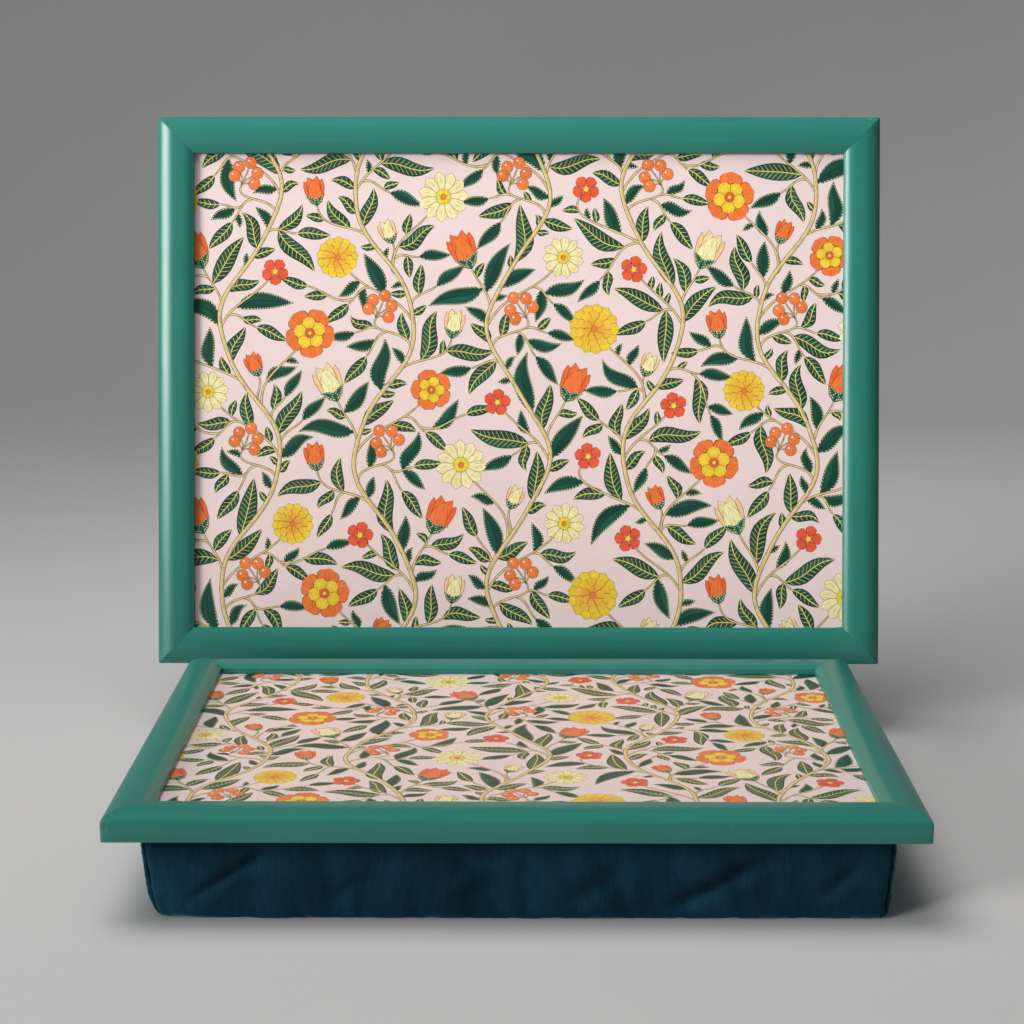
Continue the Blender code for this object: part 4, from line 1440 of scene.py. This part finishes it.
def cover_insets(z):
    """Insets of the front and of the ends from the frame's outer edge, at one height or many."""
    heights, fronts, ends = zip(*COVER_SIDE)
    return np.interp(z, heights, fronts), np.interp(z, heights, ends)


def ring_points(half_x, half_y, z):
    """One ring of columns, and each column's distance from its nearest seam.

    Columns stand closer together beside the upright corner seams.
    """
    radius = COVER_CORNER
    quarter = math.pi / 4 * radius
    points = []
    gaps = []
    for turn in range(4):
        run, away, full = (half_x, half_y, BASE_L) if turn % 2 == 0 else (half_y, half_x, BASE_D)
        length = 2 * (quarter + run - radius)
        inner = length - 2 * SEAM_STOPS[-1]
        count = round(full / COLUMN_GAP)
        stops = [*SEAM_STOPS[:-1]]
        stops += [SEAM_STOPS[-1] + inner * k / count for k in range(count + 1)]
        stops += [length - stop for stop in SEAM_STOPS[-2:0:-1]]
        cos, sin = ((1, 0), (0, 1), (-1, 0), (0, -1))[turn]
        for s in stops:
            side = -1 if s < length / 2 else 1
            bend = max(0.0, quarter - min(s, length - s)) / radius
            if bend > 0:
                x = side * (run - radius + radius * math.sin(bend))
                y = radius - away - radius * math.cos(bend)
            else:
                x = s - length / 2
                y = -away
            points.append((cos * x - sin * y, sin * x + cos * y, z))
            gaps.append(min(s, length - s))
    return points, gaps


def cover_mesh(name):
    """The cover, still open above and below: its mesh, how many rows it has, and its columns' seam gaps."""
    heights = [row[0] for row in COVER_SIDE]
    upright = (*heights[:FOOT_ROWS], *np.linspace(heights[FOOT_ROWS], COVER_HEIGHT, SIDE_ROWS))
    rows = [(0.0, extra) for extra in UNDER_INSETS] + [(float(z), 0.0) for z in upright]
    points = []
    for z, extra in rows:
        front, end = cover_insets(z)
        ring, gaps = ring_points(BASE_L / 2 - (end + extra), BASE_D / 2 - (front + extra), z)
        points += ring
    return new_mesh(name, points, ring_faces(len(rows), len(gaps))), len(rows), gaps


def fill_cloth(cover, rest, held, settings):
    """Blows the cover up as a cloth, and lets no point go further than the swell."""
    pins = cover.vertex_groups.new(name="pins")
    pins.add([int(i) for i in np.flatnonzero(held)], 1.0, "REPLACE")
    cloth = cover.modifiers.new("cloth", "CLOTH")
    for key, value in CLOTH.items():
        setattr(cloth.settings, key, value)
    cloth.settings.uniform_pressure_force = settings.pressure
    cloth.settings.vertex_group_mass = "pins"
    cloth.settings.effector_weights.gravity = 0
    cloth.collision_settings.use_collision = False
    cloth.point_cache.frame_start = 1
    cloth.point_cache.frame_end = CLOTH_FRAMES
    for number in range(1, CLOTH_FRAMES + 1):
        bpy.context.scene.frame_set(number)
    bake_modifiers(cover)
    bpy.context.scene.frame_set(1)
    moved = mesh_points(cover.data) - rest
    travel = np.linalg.norm(moved, axis=1)
    share = np.minimum(1.0, settings.swell / np.maximum(travel, 1e-9))
    set_points(cover.data, rest + moved * share[:, None])


def crease_relief(along, up, run):
    """How far the creases of a side press the cloth in at each place. Ridges are below zero."""
    relief = np.zeros(len(along))
    for start, end, depth, width in CREASES:
        a = np.array((start[0] * 2 * run, start[1] * COVER_HEIGHT))
        span = np.array((end[0] * 2 * run, end[1] * COVER_HEIGHT)) - a
        t = ((along - a[0]) * span[0] + (up - a[1]) * span[1]) / (span @ span)
        over = (span[0] * (up - a[1]) - span[1] * (along - a[0])) / np.linalg.norm(span)
        fade = np.sin(np.pi * np.clip((t + 0.2) / 1.4, 0, 1)) ** 1.2
        away = over / (width * MM)
        relief += depth * MM * math.sqrt(2 * math.e) * away * np.exp(-away ** 2) * fade
    return relief


def crease_cover(points, settings):
    """Presses the corner seams in, with their puckers, and lays soft creases along the sides.

    Gives the points, the mask of the seams, which the cloth reads as painted shade in their grooves, and a
    mask of painted light: painted shade in the crease valleys, a painted highlight on their ridges, and
    painted light near both ends of each side.
    """
    x, y, z = points.T
    front, end = cover_insets(z)
    half_x = BASE_L / 2 - end
    half_y = BASE_D / 2 - front
    from_x = half_x - np.abs(x)
    from_y = half_y - np.abs(y)
    corner = np.stack([np.sign(x), np.sign(y), np.zeros_like(x)], -1) / math.sqrt(2)
    from_seam = np.abs(from_x - from_y) / math.sqrt(2)
    near_corner = (from_x < GROOVE_REACH) & (from_y < GROOVE_REACH)
    standing = np.clip(z / FADE_AT_GROUND, 0, 1) * np.clip((COVER_HEIGHT - z) / FADE_AT_TOP, 0, 1)
    groove = np.where(near_corner, np.exp(-(from_seam / GROOVE_W) ** 2), 0.0)
    points = points - corner * (groove * standing * settings.seam_depth)[:, None]
    waver = 2.2 * np.sin(z * 310.0 + 4 * np.sign(x) + 2 * np.sign(y))
    pucker = np.sin(2 * np.pi * z / PUCKER_PITCH + waver)
    band = np.exp(-((from_seam - PUCKER_FROM) / PUCKER_W) ** 2)
    band = band * ((from_x < SIDE_REACH) & (from_y < SIDE_REACH))
    points += corner * (PUCKER_DEPTH * pucker * band * standing)[:, None]

    side_y = np.abs(y) / half_y > np.abs(x) / half_x
    outward = np.zeros_like(points)
    outward[:, 0] = np.where(side_y, 0.0, np.sign(x))
    outward[:, 1] = np.where(side_y, np.sign(y), 0.0)
    long_side = side_y & (from_y < SIDE_REACH)
    short_side = ~side_y & (from_x < SIDE_REACH)
    up = np.clip(z, 0, COVER_HEIGHT)
    relief = np.zeros(len(points))
    brushed = np.zeros(len(points))
    for facing, along, run in (
        (long_side & (y < 0), x, LONG_RUN),
        (long_side & (y > 0), -x, LONG_RUN),
        (short_side & (x > 0), y, SHORT_RUN),
        (short_side & (x < 0), -y, SHORT_RUN),
    ):
        along = along + run
        relief += crease_relief(along, up, run) * facing * standing
        # Painted light: a band at mid height near both ends of each side, gathered in brushed
        beside = np.exp(-(along / PAINTED_END_LIGHT_W) ** 2)
        level = (up / COVER_HEIGHT - PAINTED_END_LIGHT_LEVEL) / PAINTED_END_LIGHT_SPREAD
        brushed += facing * beside * np.exp(-level ** 2)
    points = points - outward * relief[:, None]
    points[:, 2] = np.clip(points[:, 2], 0.0, COVER_HEIGHT)
    # The last mask is painted light: darker in crease valleys, lighter on their ridges and near both ends
    # of each side
    return points, groove * standing, np.clip(0.5 + 0.4 * brushed - relief / (3 * MM), 0, 1)


def sew_cover(settings, mat):
    """The cushion's cover: filled, creased, closed and given its cloth."""
    mesh, row_count, gaps = cover_mesh("cushion_cover_sewn")
    cover = new_object("cushion_cover_sewn", mesh)
    rest = mesh_points(mesh)
    row = np.arange(len(rest)) // len(gaps)
    free = (row >= len(UNDER_INSETS)) & (row < row_count - 1)

    # Uneven fill, so that the cloth doesn't settle evenly
    start = rest.copy()
    for i in np.flatnonzero(free):
        swell = UNEVEN_FILL * noise.noise(Vector(rest[i]) * UNEVEN_SCALE)
        outward = np.array((rest[i, 0] / (BASE_L / 2), rest[i, 1] / (BASE_D / 2), 0.0))
        start[i] += swell * outward / max(1e-6, np.linalg.norm(outward))
    set_points(mesh, start)
    fill_cloth(cover, rest, ~free | (np.tile(gaps, row_count) < SEWN_W), settings)

    points = mesh_points(cover.data)
    points[:, 2] = np.clip(points[:, 2], 0.0, COVER_HEIGHT)
    set_points(cover.data, points)
    modifier = cover.modifiers.new("finer", "SUBSURF")
    modifier.levels = modifier.render_levels = 1
    bake_modifiers(cover)
    mesh = cover.data
    points, seam, painted_fold_light = crease_cover(mesh_points(mesh), settings)
    points[:, 0] += settings.lean * (LEAN_AT_GROUND - points[:, 2] / COVER_HEIGHT)
    set_points(mesh, points)
    # The seam mask is read by the cloth as painted shade in the seam grooves
    give_mask(mesh, "seam", seam)
    # The fold mask is read by the cloth as painted shade in crease valleys and painted light on ridges and
    # side ends
    give_mask(mesh, "painted_fold_light", painted_fold_light)
    edit_mesh(mesh, lambda bm: bmesh.ops.holes_fill(bm, edges=bm.edges[:], sides=0))
    mesh.shade_smooth()
    set_material(cover, mat)
    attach(cover, "base")
    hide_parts("cushion_cover", "cushion_filling")


def cloth_material(settings):
    """Brushed short-pile cloth, whose nap lies in soft patches with fine upright streaks."""
    colour = tuple(settings.cloth)
    sockets = {
        "Sheen Weight": 0.6,
        "Sheen Roughness": 0.45,
        "Sheen Tint": (0.12, 0.48, 0.68, 1.0),
        "Specular IOR Level": 0.08,
    }
    mat, w, shader = new_material("cushion_brushed_cloth", colour, 0.92, 0.0, sockets)
    place = w.own_place()
    x, y, z = w.split(place)
    streak = w.noise(w.combine(x, y, w.times(z, 0.16)), 560.0, 3.0, 0.65)
    patch = w.noise(place, 14.0, 2.0, 0.5, 0.3)
    fibre = w.noise(place, 2400.0, 2.0, 0.6)
    nap = w.ease(w.plus(w.times(streak, 0.5), w.times(patch, 0.5)), 0.30, 0.74)
    base = w.mix(w.times(nap, 0.6), colour, tuple(settings.nap))
    # Painted shade: the cloth's colour is darkened in the seam grooves
    painted_seam_shade = w.ease(w.attribute("seam")["Fac"], 0.1, 0.7, 1.0, 0.25)
    # Painted shade and light: darker in crease valleys, lighter on crease ridges and near both ends of each
    # side
    painted_fold_light_factor = w.ease(w.attribute("painted_fold_light")["Fac"], 0.1, 0.9, 0.45, 1.9)
    light = w.times(w.times(w.ease(fibre, 0.25, 0.75, 0.75, 1.25), painted_seam_shade), painted_fold_light_factor)
    w.feed(shader["Base Color"], w.shade(base, light))
    w.feed(shader["Roughness"], w.ease(fibre, 0.2, 0.8, 0.82, 1.0))
    w.feed(shader["Normal"], w.bump(w.plus(w.times(fibre, 0.5), w.times(streak, 0.5)), 0.0004, 0.55))
    return mat


# Operators

HIDDEN_BOARDS = ("base_panel", "lid_panel", "cushion_board")
BOARD_COLOUR = (0.36, 0.235, 0.125)

# Word in the node names, name of the steel, its colour, roughness and the scale of its rolling marks
STEELS = (
    ("leaf", "rolled_hinge_steel", (0.60, 0.59, 0.56), 0.34, 1400.0),
    ("_pin", "drawn_pin_steel", (0.66, 0.65, 0.63), 0.22, 2200.0),
    ("screw", "plated_screw_steel", (0.70, 0.66, 0.55), 0.28, 1800.0),
    ("staple", "staple_wire_steel", (0.60, 0.60, 0.60), 0.32, 1400.0),
    ("nail", "corner_nail_steel", (0.46, 0.46, 0.47), 0.42, 1400.0),
)


class LAPDESK_OT_paint_frames(bpy.types.Operator):
    """Paint the mitred rails of the base and the lid, and the writing board"""

    bl_idname = "lapdesk.paint_frames"
    bl_label = "Paint the frames"

    def execute(self, context):
        settings = context.scene.lapdesk_frame
        mat = paint_material("frame_satin_paint", tuple(settings.paint))
        base_place = Matrix.Translation((0, 0, FRAME_Z))
        make_rails("base", BASE_L, BASE_D, base_place, "base", mat, settings)
        make_rails("lid", LID_L, LID_D, lid_place(), "lid", mat, settings)
        set_material(frame["nodes"]["writing_board"], mat)
        return {"FINISHED"}


class LAPDESK_OT_lay_prints(bpy.types.Operator):
    """Draw the vine print and lay it in the base and the lid"""

    bl_idname = "lapdesk.lay_prints"
    bl_label = "Lay the prints"

    def execute(self, context):
        settings = context.scene.lapdesk_print
        mats = print_materials(settings)
        ground = tuple(settings.ground)
        half_x, half_y = ((side / 2 - RAIL_W + RABBET_W) / MM for side in (LID_L, LID_D))
        shapes = Design(settings, half_x, half_y).shapes()
        in_lid = lid_place() @ Matrix.Translation((0, 0, PRINT_TOP)) @ Matrix.Rotation(math.pi, 4, "Z")
        lay_print("lid_print_sheet", "lid", LID_L, LID_D, 1.0, in_lid, shapes, mats, ground)
        in_base = Matrix.Translation((0, 0, FRAME_Z + PRINT_TOP))
        ratio = (BASE_L - 2 * RAIL_W) / (LID_L - 2 * RAIL_W)
        lay_print("base_print_sheet", "base", BASE_L, BASE_D, ratio, in_base, shapes, mats, ground)
        return {"FINISHED"}


class LAPDESK_OT_sew_cushion(bpy.types.Operator):
    """Sew and fill the cushion's cloth cover"""

    bl_idname = "lapdesk.sew_cushion"
    bl_label = "Sew the cushion"

    def execute(self, context):
        settings = context.scene.lapdesk_cushion
        sew_cover(settings, cloth_material(settings))
        return {"FINISHED"}


class LAPDESK_OT_finish_boards(bpy.types.Operator):
    """Give the hidden panels and the cushion board their fibre board finish"""

    bl_idname = "lapdesk.finish_boards"
    bl_label = "Finish the boards"

    def execute(self, context):
        mat = board_material("pressed_fibre_board", BOARD_COLOUR)
        for name in HIDDEN_BOARDS:
            set_material(frame["nodes"][name], mat)
        return {"FINISHED"}


class LAPDESK_OT_finish_hardware(bpy.types.Operator):
    """Give the hinges, pins, screws, staples and nails their steel finishes"""

    bl_idname = "lapdesk.finish_hardware"
    bl_label = "Finish the hardware"

    def execute(self, context):
        for word, steel, colour, roughness, scale in STEELS:
            mat = steel_material(steel, colour, roughness, scale)
            for name, obj in frame["nodes"].items():
                if word in name and "rail" not in name:
                    set_material(obj, mat)
        return {"FINISHED"}


# Floor: its sides, where it starts in front, where it begins to curve up, and how far up it goes
FLOOR_SIDE = 7.0
FLOOR_FRONT = -9.0
SWEEP_FROM = 1.6
SWEEP_RADIUS = 0.9
SWEEP_STEPS = 12
WALL_TOP = 3.2

# Lights: name, place, point that it is aimed at, width and height, spread in degrees
KEY_LIGHT = ("key_light", (-1.52, -0.88, 0.85), (0, 0.2, 0.44), (1.3, 0.9), 40)
TOP_LIGHT = ("top_light", (-0.5, -0.15, 2.3), (0, 0.1, 0.1), (1.7, 1.4), 170)
FILL_COLOUR = (0.92, 0.96, 1.0, 1.0)

# Camera: place, height over the base frame's ridge, and its tilt down and turn in degrees
CAMERA_X = 0.0036
CAMERA_Y = -1.2657
CAMERA_RISE = 0.3832
CAMERA_TILT = 11.34
CAMERA_TURN = 0.306


def floor_mesh(name):
    """A floor that sweeps up into a wall behind the desk."""
    rows = [(FLOOR_FRONT, 0.0)]
    for k in range(SWEEP_STEPS + 1):
        angle = math.pi / 2 * k / SWEEP_STEPS
        rows.append((SWEEP_FROM + SWEEP_RADIUS * math.sin(angle), SWEEP_RADIUS * (1 - math.cos(angle))))
    rows.append((SWEEP_FROM + SWEEP_RADIUS, WALL_TOP))
    points = [(x, y, z) for y, z in rows for x in (-FLOOR_SIDE, FLOOR_SIDE)]
    faces = [(2 * k, 2 * k + 1, 2 * k + 3, 2 * k + 2) for k in range(len(rows) - 1)]
    mesh = new_mesh(name, points, faces)
    mesh.shade_smooth()
    return mesh


def floor_material(colour):
    """An even pale floor with a faint mottle."""
    mat, w, shader = new_material("pale_floor", colour, 0.6)
    mottle = w.shared("Mottle", Place=w.own_place(), Scale=3.0, Contrast=0.05)[0]
    w.feed(shader["Base Color"], w.shade(colour, mottle))
    return mat


def add_area_light(name, place, target, size, spread, power):
    """A soft light of a width and height, aimed at a point."""
    light = bpy.data.lights.new(name, "AREA")
    light.shape = "RECTANGLE"
    light.size, light.size_y = size
    light.energy = power
    light.spread = math.radians(spread)
    obj = new_object(name, light)
    obj.location = place
    obj.rotation_euler = (Vector(target) - Vector(place)).to_track_quat("-Z", "Y").to_euler()
    return obj


class LAPDESK_OT_build_stage(bpy.types.Operator):
    """Build the pale floor, the soft lights and the camera"""

    bl_idname = "lapdesk.build_stage"
    bl_label = "Build the stage"

    def execute(self, context):
        settings = context.scene.lapdesk_stage
        floor = new_object("stage_floor", floor_mesh("stage_floor"))
        set_material(floor, floor_material(tuple(settings.floor)))

        add_area_light(*KEY_LIGHT, settings.key_power)
        add_area_light(*TOP_LIGHT, settings.top_power).visible_glossy = False
        world = bpy.data.worlds.new("even_fill")
        context.scene.world = world
        world.use_nodes = True
        background = world.node_tree.nodes["Background"]
        background.inputs["Color"].default_value = FILL_COLOUR
        background.inputs["Strength"].default_value = settings.fill_strength

        camera = bpy.data.cameras.new("camera")
        camera.lens = settings.lens
        camera.sensor_width = 36.0
        camera.clip_end = 20.0
        obj = new_object("camera", camera)
        obj.location = (CAMERA_X, CAMERA_Y, RIDGE_Z + CAMERA_RISE)
        obj.rotation_euler = (math.radians(90 - CAMERA_TILT), 0.0, math.radians(CAMERA_TURN))
        context.scene.camera = obj
        context.scene.view_settings.view_transform = "Standard"
        return {"FINISHED"}


OPERATORS = (
    LAPDESK_OT_paint_frames,
    LAPDESK_OT_lay_prints,
    LAPDESK_OT_sew_cushion,
    LAPDESK_OT_finish_boards,
    LAPDESK_OT_finish_hardware,
    LAPDESK_OT_build_stage,
)


class LAPDESK_PT_sidebar(bpy.types.Panel):
    """Settings and steps of the lap desk"""

    bl_label = "Lap Desk"
    bl_idname = "LAPDESK_PT_sidebar"
    bl_space_type = "VIEW_3D"
    bl_region_type = "UI"
    bl_category = "Lap Desk"

    def draw(self, context):
        for key in SETTINGS:
            box = self.layout.box()
            group = getattr(context.scene, key)
            for name in type(group).__annotations__:
                box.prop(group, name)
        for operator in OPERATORS:
            self.layout.operator(operator.bl_idname)


SETTINGS = {
    "lapdesk_frame": LapDeskFrameSettings,
    "lapdesk_print": LapDeskPrintSettings,
    "lapdesk_cushion": LapDeskCushionSettings,
    "lapdesk_stage": LapDeskStageSettings,
}
CLASSES = (*SETTINGS.values(), *OPERATORS, LAPDESK_PT_sidebar)


def register():
    for cls in CLASSES:
        bpy.utils.register_class(cls)
    for key, cls in SETTINGS.items():
        setattr(bpy.types.Scene, key, PointerProperty(type=cls))


def unregister():
    for key in SETTINGS:
        delattr(bpy.types.Scene, key)
    for cls in reversed(CLASSES):
        bpy.utils.unregister_class(cls)


def main():
    register()
    bpy.ops.lapdesk.paint_frames()
    bpy.ops.lapdesk.lay_prints()
    bpy.ops.lapdesk.sew_cushion()
    bpy.ops.lapdesk.finish_boards()
    bpy.ops.lapdesk.finish_hardware()
    bpy.ops.lapdesk.build_stage()


if __name__ == "__main__":
    main()
